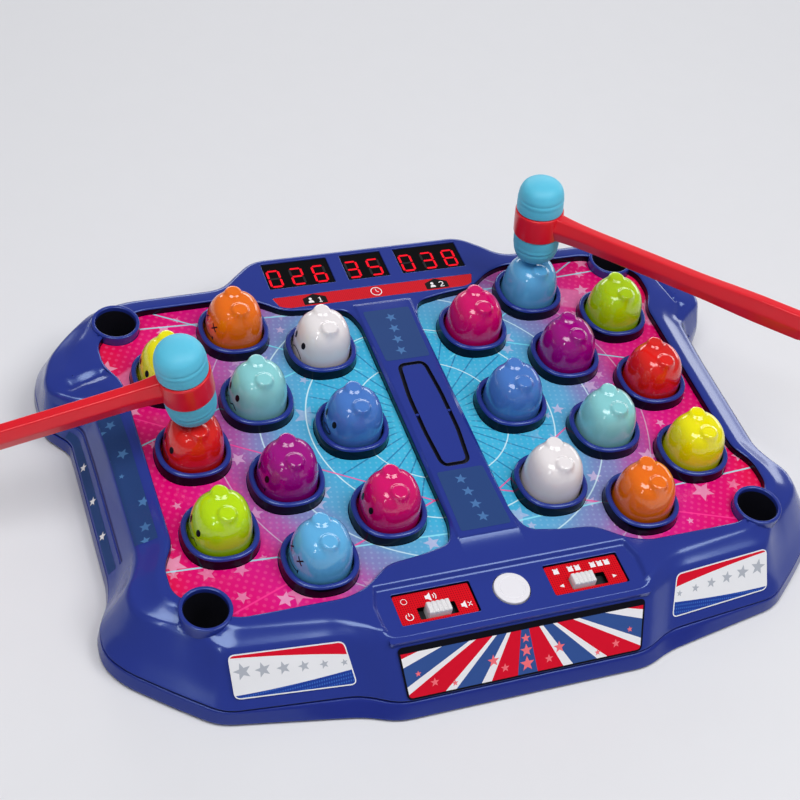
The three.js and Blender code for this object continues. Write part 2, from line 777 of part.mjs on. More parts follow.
function controlPlate(side) {
  const low = deckHeight - recessDepth + fitGap;
  const plate = slab(shifted(rectangle(plateWidth, plateDepth), ...platePlace(side)), low,
    low + controlPlateThickness);
  return surface(cutAll(solid(plate), [slab(slotOutline(side, fitGap), low - overrun, low + overrun)]));
}

function startButton() {
  const flangeHigh = deckUnderside - fitGap;
  const flangeLow = flangeHigh - buttonFlangeThickness;
  const stemLow = controlBoardTop + fitGap + buttonTravel + fitGap;
  return turned([
    [buttonStemRadius, stemLow], [buttonStemRadius, flangeLow], [buttonRadius + buttonFlange, flangeLow],
    [buttonRadius + buttonFlange, flangeHigh], [buttonRadius, flangeHigh],
    [buttonRadius, deckHeight + buttonRise / 2],
    [buttonRadius - buttonRise, deckHeight + buttonRise],
  ], buttonSides);
}

// Control board with the bodies of its two slide switches, which the knobs ride on
function addControls() {
  const board = slab(inPlan(controlBoardShares), controlBoardBottom, controlBoardTop);
  const switches = [-1, 1].map((side) =>
    slab(slotOutline(side, -fitGap), controlBoardTop - boardThickness / 2, knobBottom - fitGap));
  addPart('control_board', surface(joinAll(solid(board), switches)), 0x1f6b3a, 0.6);
  addPart('sound_plate', controlPlate(-1), 0xc8141e, 0.4);
  addPart('mode_plate', controlPlate(1), 0xc8141e, 0.4);
  addPart('sound_knob', knob(platePlace(-1)[0]), 0xe4e2dc, 0.45);
  addPart('mode_knob', knob(platePlace(1)[0] - modeTravel / 2), 0xe4e2dc, 0.45);
  const button = addPart('start_button', startButton(), 0xf0eeea, 0.4);
  button.position.set(0, startPlaceShare * halfDepth, 0);
}

// Battery door with a captive screw, the cells that lie over it, the speaker and the feet
function addBase() {
  const [bayX, bayY] = bayPlace();
  const hole = column(...doorScrewPlace(), doorScrewRadius + fitGap, -overrun, floorTop + overrun,
    footSides);
  const door = slab(doorOutline(doorGap), 0, doorThickness());
  addPart('battery_door', surface(solid(door).subtract(solid(hole))), 0x24358c, 0.4);
  const screw = column(...doorScrewPlace(), doorScrewRadius, fitGap, doorScrewLength + fitGap, footSides);
  addPart('door_screw', screw, 0x9a9a9a, 0.35, 1);
  for (let i = 0; i < cellCount; i++) {
    const y = bayY + (i - (cellCount - 1) / 2) * (cellRadius + cellRadius + cellGap);
    const shape = turned([[cellRadius, 0], [cellRadius, cellLength]], cellSides);
    const cell = addPart(`battery_${i + 1}`, shape, 0xb58a3c, 0.3, 0.6);
    cell.rotation.set(0, Math.PI / 2, 0);
    cell.position.set(bayX - cellLength / 2, y, doorThickness() + fitGap + cellRadius);
  }
  const [speakerX, speakerY] = [speakerPlaceShares[0] * halfLength, speakerPlaceShares[1] * halfDepth];
  const rimTop = speakerRimHeight;
  const speaker = turned([
    [speakerRadius, 0], [speakerRadius, rimTop], [speakerMagnetRadius, rimTop],
    [speakerMagnetRadius, speakerHeight],
  ], buttonSides);
  addPart('speaker', speaker, 0x3a3a3e, 0.5, 0.4).position.set(speakerX, speakerY, floorTop + fitGap);
  const feet = { back: footPlaceShares[0], front: footPlaceShares[1] };
  Object.entries(feet).forEach(([end, [shareX, shareY]]) =>
    [['left', -1], ['right', 1]].forEach(([hand, side]) => {
    const foot = turned([[footRadius, -footHeight], [footRadius, footSeat]], footSides);
    addPart(`foot_${end}_${hand}`, foot, 0x1c1c1e, 0.9).position.set(side * shareX * halfLength,
      shareY * halfDepth, 0);
  }));
}

// A thin plate lying a small gap off a sloping face, from its corners taken anticlockwise seen from
// outside
function slopePlate(corners) {
  const points = corners.map((corner) => new THREE.Vector3(...corner));
  const normal = points[1].clone().sub(points[0]).cross(points[3].clone().sub(points[0])).normalize();
  const layers = [fitGap, fitGap + labelThickness].map((lift) =>
    points.map((point) => point.clone().addScaledVector(normal, lift)));
  const geometry = new THREE.BufferGeometry();
  const positions = layers.flat().flatMap((point) => point.toArray());
  geometry.setAttribute('position', new THREE.Float32BufferAttribute(positions, 3));
  const edges = [0, 1, 2, 3].flatMap((i) => {
    const next = (i + 1) % 4;
    return [i, next, next + 4, i, next + 4, i + 4];
  });
  geometry.setIndex([0, 2, 1, 0, 3, 2, 4, 5, 6, 4, 6, 7, ...edges]);
  return geometry;
}

// A point on the housing's front face, between the parting and the edge outlines of two stations
function onFront(stations, shareX, level) {
  const x = shareX * halfLength;
  const y = [partingShares, edgeShares].map((shares) => {
    const [[fromX, fromY], [toX, toY]] = stations.map((station) => shares[station]);
    return (fromY + ((toY - fromY) * (shareX - fromX)) / (toX - fromX)) * halfDepth;
  });
  return [x, y[0] + (y[1] - y[0]) * level, partingHeight + (edgeHeight - partingHeight) * level];
}

function addLabels() {
  const fascia = [edgeShares.length - 2, edgeShares.length - 1];
  const [topX, topLevel] = nameplateTopShares;
  const [bottomX, bottomLevel] = nameplateBottomShares;
  addPart('nameplate', slopePlate([
    onFront(fascia, -bottomX, bottomLevel), onFront(fascia, bottomX, bottomLevel),
    onFront(fascia, topX, topLevel), onFront(fascia, -topX, topLevel),
  ]), 0xc01d2a, 0.35);
  const front = [edgeShares.length - 4, edgeShares.length - 3];
  const corners = sideLabelShares.map(([shareX, level]) => onFront(front, shareX, level));
  const [innerTop, outerTop, outerBottom, innerBottom] = corners;
  const flip = ([x, y, z]) => [-x, y, z];
  addPart('front_label_right', slopePlate([innerBottom, outerBottom, outerTop, innerTop]), 0xe8e8ec, 0.35);
  addPart('front_label_left', slopePlate([outerBottom, innerBottom, innerTop, outerTop].map(flip)),
    0xe8e8ec, 0.35);
}

// Hammer handle: a barrel collar with a peg at each end, and a flat ridged bar that widens to the grip
function hammerHandle() {
  const half = collarLength / 2;
  const core = turned([
    [pegRadius, -half - pegLength], [pegRadius, -half], [headCollarRadius - headBarrel, -half],
    [headCollarRadius, 0], [headCollarRadius - headBarrel, half], [pegRadius, half],
    [pegRadius, half + pegLength],
  ], headSides);
  const start = pegRadius;
  const rootShare = 0.94;
  const sections = [
    [start, collarLength * rootShare, handleThickness],
    [headCollarRadius, collarLength * rootShare, handleThickness],
    [handleRootReach, handleHeight, handleThickness],
    [handleReach - gripLength, handleHeight, handleThickness],
    [handleReach - gripLength / 2, gripHeight, handleThickness],
    [handleReach - handleThickness / 2, gripHeight, handleThickness],
    [handleReach, gripHeight / 2, handleThickness / 2],
  ];
  const flatShare = 0.34;
  const bar = loft(sections.map(([x, height, thickness]) => ({
    points: [
      [0, -thickness / 2], [height / 2, -thickness * flatShare], [height / 2, thickness * flatShare],
      [0, thickness / 2], [-height / 2, thickness * flatShare], [-height / 2, -thickness * flatShare],
    ],
    z: x,
  })));
  bar.rotateY(Math.PI / 2);
  return surface(solid(core).add(solid(bar)));
}

// Soft cap: a short cylinder and a dome, with a blind hole for the peg
function hammerCap(end) {
  const base = collarLength / 2 + fitGap;
  const reach = headLength / 2 - base;
  const domeShares = [[1, 0], [1, 0.42], [0.94, 0.66], [0.74, 0.88], [capTipShare, 1]];
  const outside = turned(domeShares.map(([radius, height]) => [radius * capRadius, base + height * reach]),
    headSides);
  const bore = turned([
    [pegRadius + fitGap, base - overrun], [pegRadius + fitGap, collarLength / 2 + pegLength + fitGap],
  ], headSides);
  const cap = surface(solid(outside).subtract(solid(bore)));
  return end > 0 ? cap : cap.rotateX(Math.PI);
}

function addHammer(hand, place, tilt, turn) {
  const hammer = new THREE.Group();
  addPart(`hammer_${hand}_handle`, hammerHandle(), 0xe10f23, 0.25, 0, hammer);
  addPart(`hammer_${hand}_upper_cap`, hammerCap(1), 0x5ac3e1, 0.6, 0, hammer);
  addPart(`hammer_${hand}_lower_cap`, hammerCap(-1), 0x5ac3e1, 0.6, 0, hammer);
  hammer.rotation.set(0, tilt, turn, 'ZYX');
  hammer.position.set(...place);
  game.add(hammer);
}

// A hammer's head centre when its lower cap stands on the back ear of a mole
function onMole(name, tilt, turn, lift) {
  const { x, y } = molePlaces().find((mole) => mole.name === name);
  const lean = (headLength / 2) * Math.sin(tilt);
  const rise = (headLength / 2) * Math.cos(tilt) + lift;
  return [x + lean * Math.cos(turn), y + strikeOffset + lean * Math.sin(turn), earTop + rise];
}

function addHammers() {
  const leftPlace = onMole('mole_left_red', leftHammerTilt, leftHammerTurn, leftHammerLift);
  addHammer('left', leftPlace, leftHammerTilt, leftHammerTurn);
  const rightPlace = onMole('mole_right_light_blue', rightHammerTilt, rightHammerTurn, rightHammerLift);
  addHammer('right', rightPlace, rightHammerTilt, rightHammerTurn);
}

addPart('top_housing', surface(topHousing()), 0x2a3f9c, 0.22);
addPart('bottom_housing', surface(bottomHousing()), 0x24358c, 0.35);
addPart('playfield_left', surface(playfield(-1)), 0xd81b84, 0.4);
addPart('playfield_right', surface(playfield(1)), 0xd81b84, 0.4);
addMoles();
addCups();
addBoards();
addDisplay();
addControls();
addBase();
addLabels();
addHammers();

export default game;
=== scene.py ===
"""Fine visual model of a tabletop mole pounding game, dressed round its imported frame.

Sizes are millimetres in the frame's axes and turn to metres when a mesh is made. +Y points to the display.
Run as a script: it registers its operators, calls them in order and checks the result.
"""

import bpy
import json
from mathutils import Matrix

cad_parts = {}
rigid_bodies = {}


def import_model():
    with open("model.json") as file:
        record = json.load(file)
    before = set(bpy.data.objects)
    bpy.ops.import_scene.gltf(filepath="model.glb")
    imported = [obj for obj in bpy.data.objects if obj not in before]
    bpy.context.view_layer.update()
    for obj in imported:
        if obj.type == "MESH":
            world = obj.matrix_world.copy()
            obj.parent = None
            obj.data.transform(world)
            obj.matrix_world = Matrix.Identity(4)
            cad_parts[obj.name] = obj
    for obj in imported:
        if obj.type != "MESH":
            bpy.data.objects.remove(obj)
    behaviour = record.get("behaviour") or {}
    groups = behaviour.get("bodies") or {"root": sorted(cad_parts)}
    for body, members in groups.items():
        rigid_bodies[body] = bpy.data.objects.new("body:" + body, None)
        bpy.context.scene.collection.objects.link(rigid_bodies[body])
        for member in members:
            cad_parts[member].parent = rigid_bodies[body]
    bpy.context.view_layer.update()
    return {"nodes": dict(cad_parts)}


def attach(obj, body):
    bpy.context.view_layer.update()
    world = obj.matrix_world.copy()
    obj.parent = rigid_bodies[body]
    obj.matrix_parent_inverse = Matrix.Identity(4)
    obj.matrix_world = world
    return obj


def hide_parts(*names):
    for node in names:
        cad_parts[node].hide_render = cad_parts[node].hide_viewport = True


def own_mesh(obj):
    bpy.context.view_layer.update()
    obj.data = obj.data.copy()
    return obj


bl_info = {
    "name": "Mole pounding game",
    "version": (1, 0, 0),
    "blender": (4, 5, 0),
    "location": "View3D > Sidebar > Mole game",
    "description": "Builds the housing, moles, prints, controls and hammers of a tabletop mole pounding game",
    "category": "Add Mesh",
}

import json
import math

import bmesh
import bpy
import numpy as np
from mathutils import Matrix, Vector
from mathutils.geometry import delaunay_2d_cdt

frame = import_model()

MILLIMETRE = 0.001
WELD = 2e-6
SHARP_ANGLE = math.radians(38)

# Housing sizes, shared with the frame
HALF = np.array([268.0, 212.0])
PARTING, BELT, EDGE, RIM = 12.0, 22.0, 43.5, 50.0
FIELD = 44.0
DECK = 46.7
PLATE_TOP = 43.1
PLATE_UNDER = 41.0
GAP = 0.3
MOLE_HALF = 20.9
MOLE_TALL = 36.2
EAR_PLACE = 9.8
EAR_TOP = 81.3
FACE_TURN = math.radians(8)
COLLAR_BORE = 22.1
ROUNDNESS = 2.3
CUP_PLACE = np.array([0.758, 0.618]) * HALF
CUP_CUT = 16.9
CUP_HUG = 16.4
CUP_SHEET = 17.7
CUP_SIDES = 72
COLLAR_FOOT = 26.5
COLLAR_TOP = 53.2
BASE_FLOOR = 2.5
PANE_TOP = 49.2
PRINT_GAP = 0.04
SWITCH_PLATE_TOP = 46.2
COLLAR_SIDES = 84
WALL = 2.6
CONSOLE_ROOF, DECK_ROOF = 47.2, 44.2
DOME_FOOT = 31.6
HEAD_HALF = 36
STRIKE_OFFSET = 4
HANDLE_REACH = 225
HANDLE_TALL, GRIP_TALL = 17.4, 21
LABEL_STAR_HEIGHT = 0.95
# Each hammer's tilt and turn in degrees, its clearance over the ear and the mole that it stands on
HAMMERS = {"left": (13.3, 180, 0.96, "mole_left_red"), "right": (-8, -53.1, 1.05, "mole_right_light_blue")}
# The camera solved from the photo's grid of moles: degrees round, up and rolled, its aim and its distance in metres
CAMERA_TURN, CAMERA_RISE, CAMERA_ROLL = -28.34, 46.09, 12.62
CAMERA_AIM = (-16.86, 22.14, 44)
CAMERA_REACH = 1.1954
SIDES = (("left", -1), ("right", 1))
BLUE_TINT = (0.5, 0.7, 1)
PER_METRE = 1000
WINDOW_Y = 0.7535 * HALF[1]
WINDOWS = ((-54.4, 54.0), (0.0, 35.0), (54.4, 54.0))
WINDOW_DEPTH = 29.4
STRIP_Y = 0.612 * HALF[1]
PLATE_PLACE = np.array([0.205, -0.745]) * HALF
PLATE_SIZE = (54.0, 23.4)
SLOT_Y = -0.768 * HALF[1]
SLOT_SIZE = (27.0, 9.7)
BUTTON_Y = -0.744 * HALF[1]
BUTTON_RADIUS = 12.5
SPEAKER_PLACE = np.array([0.25, 0.05]) * HALF
DOOR_HOLE = ((-98.86, -12.6), (-45.86, -12.6), (-45.86, 33.8), (-98.86, 33.8), (-98.86, 17.1), (-107.86, 17.1),
             (-107.86, 4.1), (-98.86, 4.1))

# Outlines in plan as shares of HALF: the +X side from the back to the front
FOOT_SHARES = (
    (0, 0.882), (0.347, 0.882), (0.459, 0.802), (0.761, 0.795), (0.866, 0.741), (0.94, 0.675),
    (0.981, 0.604), (0.996, 0.528), (0.998, 0.415), (0.992, 0.345), (0.966, 0.3), (0.94, 0.255), (0.94, 0.094),
    (0.942, -0.33), (0.959, -0.415), (0.996, -0.491), (1, -0.594), (0.963, -0.675), (0.866, -0.783),
    (0.769, -0.882), (0.418, -0.96), (0.343, -1), (0, -1),
)
PARTING_SHARES = (
    (0, 0.873), (0.343, 0.873), (0.453, 0.79), (0.754, 0.783), (0.858, 0.731), (0.929, 0.665),
    (0.974, 0.599), (0.994, 0.524), (0.996, 0.415), (0.996, 0.345), (0.966, 0.305), (0.937, 0.262),
    (0.937, 0.094), (0.937, -0.33), (0.953, -0.41), (0.989, -0.486), (0.993, -0.59), (0.953, -0.665),
    (0.854, -0.774), (0.754, -0.875), (0.422, -0.913), (0.336, -0.969), (0, -0.969),
)
BELT_SHARES = (
    (0, 0.868), (0.34, 0.868), (0.446, 0.774), (0.746, 0.764), (0.843, 0.717), (0.91, 0.656),
    (0.959, 0.594), (0.985, 0.519), (0.993, 0.415), (0.993, 0.345), (0.957, 0.3), (0.912, 0.258),
    (0.909, 0.094), (0.909, -0.33), (0.929, -0.406), (0.966, -0.476), (0.966, -0.575), (0.925, -0.642),
    (0.828, -0.745), (0.743, -0.835), (0.433, -0.873), (0.34, -0.934), (0, -0.934),
)
EDGE_SHARES = (
    (0, 0.856), (0.332, 0.856), (0.44, 0.743), (0.735, 0.738), (0.81, 0.712), (0.858, 0.66),
    (0.907, 0.599), (0.955, 0.528), (0.985, 0.425), (0.978, 0.365), (0.925, 0.325), (0.88, 0.285),
    (0.873, 0.094), (0.873, -0.34), (0.896, -0.415), (0.922, -0.472), (0.918, -0.552), (0.873, -0.608),
    (0.799, -0.66), (0.743, -0.755), (0.455, -0.785), (0.343, -0.856), (0, -0.856),
)
RIM_SHARES = (
    (0, 0.844), (0.321, 0.844), (0.433, 0.724), (0.72, 0.719), (0.791, 0.7), (0.826, 0.656),
    (0.843, 0.599), (0.888, 0.533), (0.925, 0.434), (0.914, 0.388), (0.858, 0.352), (0.815, 0.31),
    (0.81, 0.094), (0.81, -0.34), (0.825, -0.406), (0.847, -0.462), (0.854, -0.528), (0.828, -0.575),
    (0.776, -0.618), (0.713, -0.698), (0.451, -0.741), (0.343, -0.825), (0, -0.825),
)
FIELD_SHARES = (
    (0.087, 0.462), (0.108, 0.538), (0.194, 0.561), (0.286, 0.573), (0.358, 0.642), (0.414, 0.667),
    (0.687, 0.665), (0.758, 0.618), (0.822, 0.533), (0.822, 0.434), (0.787, 0.351), (0.787, -0.351),
    (0.822, -0.434), (0.822, -0.533), (0.758, -0.618), (0.687, -0.665), (0.414, -0.667), (0.358, -0.642),
    (0.286, -0.573), (0.194, -0.561), (0.108, -0.538), (0.087, -0.462),
)
DECK_SHARES = (
    (-0.354, -0.93), (0.354, -0.93), (0.362, -0.72), (0.345, -0.65), (-0.345, -0.65), (-0.362, -0.72),
)
# Hollows in the back shoulder of each side: both ends in plan towards +X, half width and depth
HOLLOWS = {
    -1: (((246, 80), (224, 84), 4.6, 2.6), ((262, 77), (245, 58.5), 1.5, 1.9), ((240, 61), (241, 63), 2.8, 1.4)),
    1: (((235.5, 104), (240.5, 81), 1.6, 2.0), ((243, 75), (236, 65), 3.4, 1.9), ((254, 66), (244, 55), 1.7, 1.8)),
}
MOLE_SHARES = (
    ("yellow", 0.665, 0.342), ("red", 0.665, 0), ("lime", 0.665, -0.342), ("orange", 0.448, 0.512),
    ("teal", 0.455, 0.178), ("purple", 0.455, -0.178), ("light_blue", 0.448, -0.512),
    ("white", 0.228, 0.37), ("blue", 0.232, 0), ("magenta", 0.228, -0.37),
)


def linear(red, green, blue):
    """Turns a colour given as 0 to 255 screen values into the linear values that shaders take."""
    c = np.array([red, green, blue]) / 255
    c = np.where(c <= 0.04045, c / 12.92, ((c + 0.055) / 1.055) ** 2.4)
    return tuple(float(v) for v in c)


MOLE_COLOURS = {
    "yellow": linear(238, 230, 0), "red": linear(226, 30, 24), "lime": linear(184, 222, 0),
    "orange": linear(238, 112, 12), "teal": linear(140, 210, 214), "purple": linear(158, 0, 128),
    "light_blue": linear(96, 176, 226), "white": linear(236, 230, 232), "blue": linear(72, 122, 200),
    "magenta": linear(212, 0, 104),
}
# Each mole colour's eyes and mouth
MOLE_FACES = {
    "yellow": ("dot", "slant"), "red": ("dot", "round"), "lime": ("dot", "zigzag"), "orange": ("cross", "line"),
    "teal": ("dot", "zigzag"), "purple": ("dot", "line"), "light_blue": ("cross", "line"),
    "white": ("dot", "frown"), "blue": ("dot", "round"), "magenta": ("dot", "slant"),
}


def mole_places():
    """Each mole's name, colour, place and the side its face looks to. The right half is the left one turned round."""
    rows = []
    for colour, share_x, share_y in MOLE_SHARES:
        x, y = share_x * HALF[0], share_y * HALF[1]
        rows.append((f"mole_left_{colour}", colour, -x, y, -1))
        rows.append((f"mole_right_{colour}", colour, x, -y, 1))
    return rows


# ---------------------------------------------------------------- outlines and surfaces


def both_sides(shares):
    """The whole outline, anticlockwise, from its +X half and that half's mirror image."""
    right = np.array(shares, float) * HALF
    left = (right * [-1, 1])[::-1][1:-1]
    return np.concatenate([right, left])[::-1]


def anticlockwise(points):
    """The same outline, reversed if its signed area is negative."""
    p = np.asarray(points, float)
    x, y = p.T
    return p if (x * np.roll(y, -1) - np.roll(x, -1) * y).sum() > 0 else p[::-1]


def rounded(points, reach, corner=8, run=4):
    """Closed outlines with rounded corners. Each corner becomes the parabola (1-t)^2 A + 2t(1-t) P + t^2 B, where A and
    B lie reach before and after the corner P, at most half a side away. Works on any stack of outlines (..., n, 2)."""
    p = np.asarray(points, float)
    a, b = np.roll(p, 1, -2) - p, np.roll(p, -1, -2) - p
    la, lb = (np.linalg.norm(v, axis=-1, keepdims=True) for v in (a, b))
    cut = np.minimum(reach, 0.48 * np.minimum(la, lb))
    start, end = p + a / la * cut, p + b / lb * cut
    t = np.linspace(0, 1, corner).reshape((-1,) + (1,) * p.ndim)
    arc = (1 - t) ** 2 * start + 2 * t * (1 - t) * p + t**2 * end
    s = np.linspace(0, 1, run + 2)[1:-1].reshape((-1,) + (1,) * p.ndim)
    straight = end + (np.roll(start, -1, -2) - end) * s
    both = np.moveaxis(np.concatenate([arc, straight]), 0, -2)
    return both.reshape(*p.shape[:-2], -1, 2)


def outwards(curve):
    """Unit normals of a closed anticlockwise outline, from the chord between each point's neighbours."""
    chord = np.roll(curve, -1, 0) - np.roll(curve, 1, 0)
    normal = np.stack([chord[:, 1], -chord[:, 0]], 1)
    return normal / np.maximum(np.linalg.norm(normal, axis=1, keepdims=True), 1e-9)


def offset(curve, distance):
    """The outline moved outwards by a distance, or inwards where it is negative."""
    return curve + outwards(curve) * distance


def rounded_section(levels, reaches, corner=6, run=4):
    """Carries every column of points from level to level, with each inner level's corner rounded to a parabola as in
    rounded(), and gives the rows from the first level to the last."""
    p = np.asarray(levels, float)
    rows = [p[:1]]
    last = len(p) - 1
    t = np.linspace(0, 1, corner)[:, None, None]
    s = np.linspace(0, 1, run + 2)[1:-1, None, None]
    end = p[0]
    for k in range(1, last):
        a, b = p[k - 1] - p[k], p[k + 1] - p[k]
        la, lb = (np.linalg.norm(v, axis=1, keepdims=True) for v in (a, b))
        room = np.minimum(la * (0.96 if k == 1 else 0.48), lb * (0.96 if k == last - 1 else 0.48))
        cut = np.minimum(reaches[k - 1], room)
        start, leave = p[k] + a / la * cut, p[k] + b / lb * cut
        rows.append(end + (start - end) * s)
        rows.append((1 - t) ** 2 * start + 2 * t * (1 - t) * p[k] + t**2 * leave)
        end = leave
    rows.append(end + (p[last] - end) * s)
    rows.append(p[last:])
    return np.concatenate(rows)


def lift(curve, z):
    """Plan points set at one height."""
    return np.column_stack([curve, np.full(len(curve), float(z))])


def swept(curve, profile):
    """Rows of a wall that follows a closed outline: each profile pair is a distance outwards and a height."""
    normals = outwards(curve)
    return np.stack([lift(curve + normals * out, z) for out, z in profile])


def squared(half, sides, centre=(0, 0)):
    """Superellipse rings |x|^n + |y|^n = half^n, one for each half width given."""
    angle = np.arange(sides) * 2 * np.pi / sides
    c, s = np.cos(angle), np.sin(angle)
    reach = 1 / (np.abs(c) ** ROUNDNESS + np.abs(s) ** ROUNDNESS) ** (1 / ROUNDNESS)
    ring = np.stack([c * reach, s * reach], 1)
    return np.asarray(half, float)[..., None, None] * ring + np.asarray(centre, float)


def circle(radius, sides, centre=(0, 0)):
    """A circle's points in plan, anticlockwise."""
    angle = np.arange(sides) * 2 * np.pi / sides
    return np.stack([np.cos(angle), np.sin(angle)], 1) * radius + np.asarray(centre, float)


def box_outline(width, depth, centre, radius=1.0, corner=5):
    """A rectangle in plan with rounded corners."""
    x, y = width / 2, depth / 2
    p = np.array([[-x, -y], [x, -y], [x, y], [-x, y]]) + np.asarray(centre, float)
    return rounded(p, radius, corner, 3)


def grid(rows, closed=True, flip=False):
    """Vertices and quads of a surface given as rows of points; closed joins each row's ends."""
    rows = np.asarray(rows, float)
    count, width = rows.shape[:2]
    i = np.arange(count - 1)[:, None] * width
    j = np.arange(width if closed else width - 1)[None, :]
    k = (j + 1) % width
    quads = np.stack([i + j, i + k, i + k + width, i + j + width], -1).reshape(-1, 4)
    return rows.reshape(-1, 3), quads[:, ::-1] if flip else quads


def lattice(x0, x1, y0, y1, step):
    """Points of a square lattice in plan."""
    return np.stack(np.meshgrid(np.arange(x0, x1, step), np.arange(y0, y1, step)), -1).reshape(-1, 2)


def at_heights(rings, heights):
    """Rings in plan, each set at its own height."""
    return np.concatenate([rings, np.broadcast_to(heights[:, None, None], (*rings.shape[:2], 1))], 2)


def with_ends(rows):
    """A surface of closed rows whose first and last row are filled from their middles."""
    ends = [np.broadcast_to(rows[k].mean(0), rows[k].shape)[None] for k in (0, -1)]
    return grid(np.concatenate([ends[0], rows, ends[1]]))


def turned(profile, sides, centre=(0, 0)):
    """A turned surface: profile pairs of radius and height carried round a vertical axis. Radius 0 closes a pole."""
    radius, z = np.array(profile, float).T
    return grid(at_heights(radius[:, None, None] * circle(1, sides), z) + np.array([*centre, 0.0]))


def eased(profile, reach, corner=5):
    """An open profile with its inner corners rounded to parabolas that start at most reach from each corner."""
    p = np.asarray(profile, float)
    rows = rounded_section(np.column_stack([p, np.zeros(len(p))])[:, None, :], [reach] * (len(p) - 2), corner, 0)
    return rows[:, 0, :2]


def inside(outline, points):
    """True where a point lies within a closed outline: a ray towards +X crosses it an odd number of times."""
    x, y = points[:, 0, None], points[:, 1, None]
    (x0, y0), (x1, y1) = outline.T, np.roll(outline, -1, 0).T
    rise = np.where(y1 == y0, 1e-12, y1 - y0)
    crosses = ((y0 > y) != (y1 > y)) & (x < (x1 - x0) * (y - y0) / rise + x0)
    return crosses.sum(1) % 2 == 1


def depth_inside(outline, points):
    """Distance from the outline's nearest side, positive inside it."""
    a = outline
    ab = np.roll(outline, -1, 0) - a
    ap = points[:, None] - a
    t = np.clip((ap * ab).sum(2) / np.maximum((ab * ab).sum(1), 1e-12), 0, 1)
    d = np.linalg.norm(ap - t[..., None] * ab, axis=2).min(1)
    return np.where(inside(outline, points), d, -d)


def cap(loops, keep, extra=None):
    """Flat triangles between closed outlines, in plan: those whose middle the keep test accepts."""
    points, edges, first = [], [], 0
    for loop in loops:
        n = len(loop)
        points.append(loop)
        i = np.arange(n)
        edges.append(np.stack([i, (i + 1) % n], 1) + first)
        first += n
    if extra is not None:
        points.append(extra)
    points, edges = np.concatenate(points), np.concatenate(edges)
    found = delaunay_2d_cdt([Vector(p) for p in points.tolist()], edges.tolist(), [], 0, 1e-5)
    vertices, faces = np.array([tuple(v) for v in found[0]]), np.array(found[2])
    middle = vertices[faces].mean(1)
    return vertices, faces[keep(middle)]


def within(outline, holes=(), cups=0):
    """A keep test for cap(): inside the outline, outside every hole and, where given, that far from every cup."""
    def keep(middle):
        kept = inside(outline, middle)
        if cups:
            kept &= away_from_cups(middle, cups)
        for hole in holes:
            kept &= ~inside(hole, middle)
        return kept
    return keep


def tube(line, low, high):
    """An upright wall along a closed line."""
    return grid(np.stack([lift(line, low), lift(line, high)]))


def carried(parts, way):
    """The same parts with their points moved by a mapping."""
    return [(way(part[0]), *part[1:]) for part in parts]


def at(level):
    """A mapping from plane points to one height."""
    return lambda points: lift(points, level)


def flat(vertices, faces, z, flip=False):
    """A cap set at one height."""
    return lift(vertices, z), faces[:, ::-1] if flip else faces


def slab(vertices, faces, low, high):
    """A closed plate from a cap: its top, its underside, and a wall on each side that belongs to one triangle only."""
    n = len(vertices)
    sides = np.concatenate([faces[:, [0, 1]], faces[:, [1, 2]], faces[:, [2, 0]]])
    unused, first, counts = np.unique(np.sort(sides, 1), axis=0, return_index=True, return_counts=True)
    a, b = sides[first[counts == 1]].T
    points = np.concatenate([lift(vertices, low), lift(vertices, high)])
    walls = np.stack([a, b, b + n, a + n], 1)
    return [(points, np.concatenate([faces[:, ::-1], faces + n])), (points, walls)]


def outline_plate(outline, low, high, holes=()):
    """A closed plate within an outline, less its holes."""
    return slab(*cap([outline, *holes], within(outline, holes)), low, high)


def piece(name, parts, materials, body, replaces=(), turn_out=True, smooth=True):
    """Joins parts, each vertices, faces and optionally a material number, into one object that rides on a body."""
    vertices, loops, sizes, marks, first = [], [], [], [], 0
    for part in parts:
        points, faces = part[0], np.asarray(part[1])
        vertices.append(points)
        loops.append((faces + first).ravel())
        sizes.append(np.full(len(faces), faces.shape[1]))
        marks.append(np.full(len(faces), part[2] if len(part) > 2 else 0))
        first += len(points)
    vertices, loops = np.concatenate(vertices) * MILLIMETRE, np.concatenate(loops)
    sizes, marks = np.concatenate(sizes), np.concatenate(marks)
    mesh = bpy.data.meshes.new(name)
    mesh.vertices.add(len(vertices))
    mesh.vertices.foreach_set("co", vertices.ravel().astype(np.float32))
    mesh.loops.add(len(loops))
    mesh.loops.foreach_set("vertex_index", loops.astype(np.int32))
    mesh.polygons.add(len(sizes))
    mesh.polygons.foreach_set("loop_start", np.concatenate([[0], np.cumsum(sizes)[:-1]]).astype(np.int32))
    mesh.polygons.foreach_set("material_index", marks.astype(np.int32))
    mesh.update(calc_edges=True)
    mesh.validate()
    shape = bmesh.new()
    shape.from_mesh(mesh)
    bmesh.ops.remove_doubles(shape, verts=shape.verts, dist=WELD)
    bmesh.ops.dissolve_degenerate(shape, edges=shape.edges, dist=WELD)
    loose = [v for v in shape.verts if not v.link_faces]
    bmesh.ops.delete(shape, geom=loose, context="VERTS")
    if turn_out:
        bmesh.ops.recalc_face_normals(shape, faces=shape.faces)
    shape.to_mesh(mesh)
    shape.free()
    mesh.polygons.foreach_set("use_smooth", np.full(len(mesh.polygons), smooth))
    if smooth:
        mesh.set_sharp_from_angle(angle=SHARP_ANGLE)
    for material in materials if isinstance(materials, (list, tuple)) else [materials]:
        mesh.materials.append(material)
    thing = bpy.data.objects.new(name, mesh)
    bpy.context.scene.collection.objects.link(thing)
    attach(thing, body)
    if replaces:
        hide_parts(*replaces)
    return thing


# ---------------------------------------------------------------- printed shapes


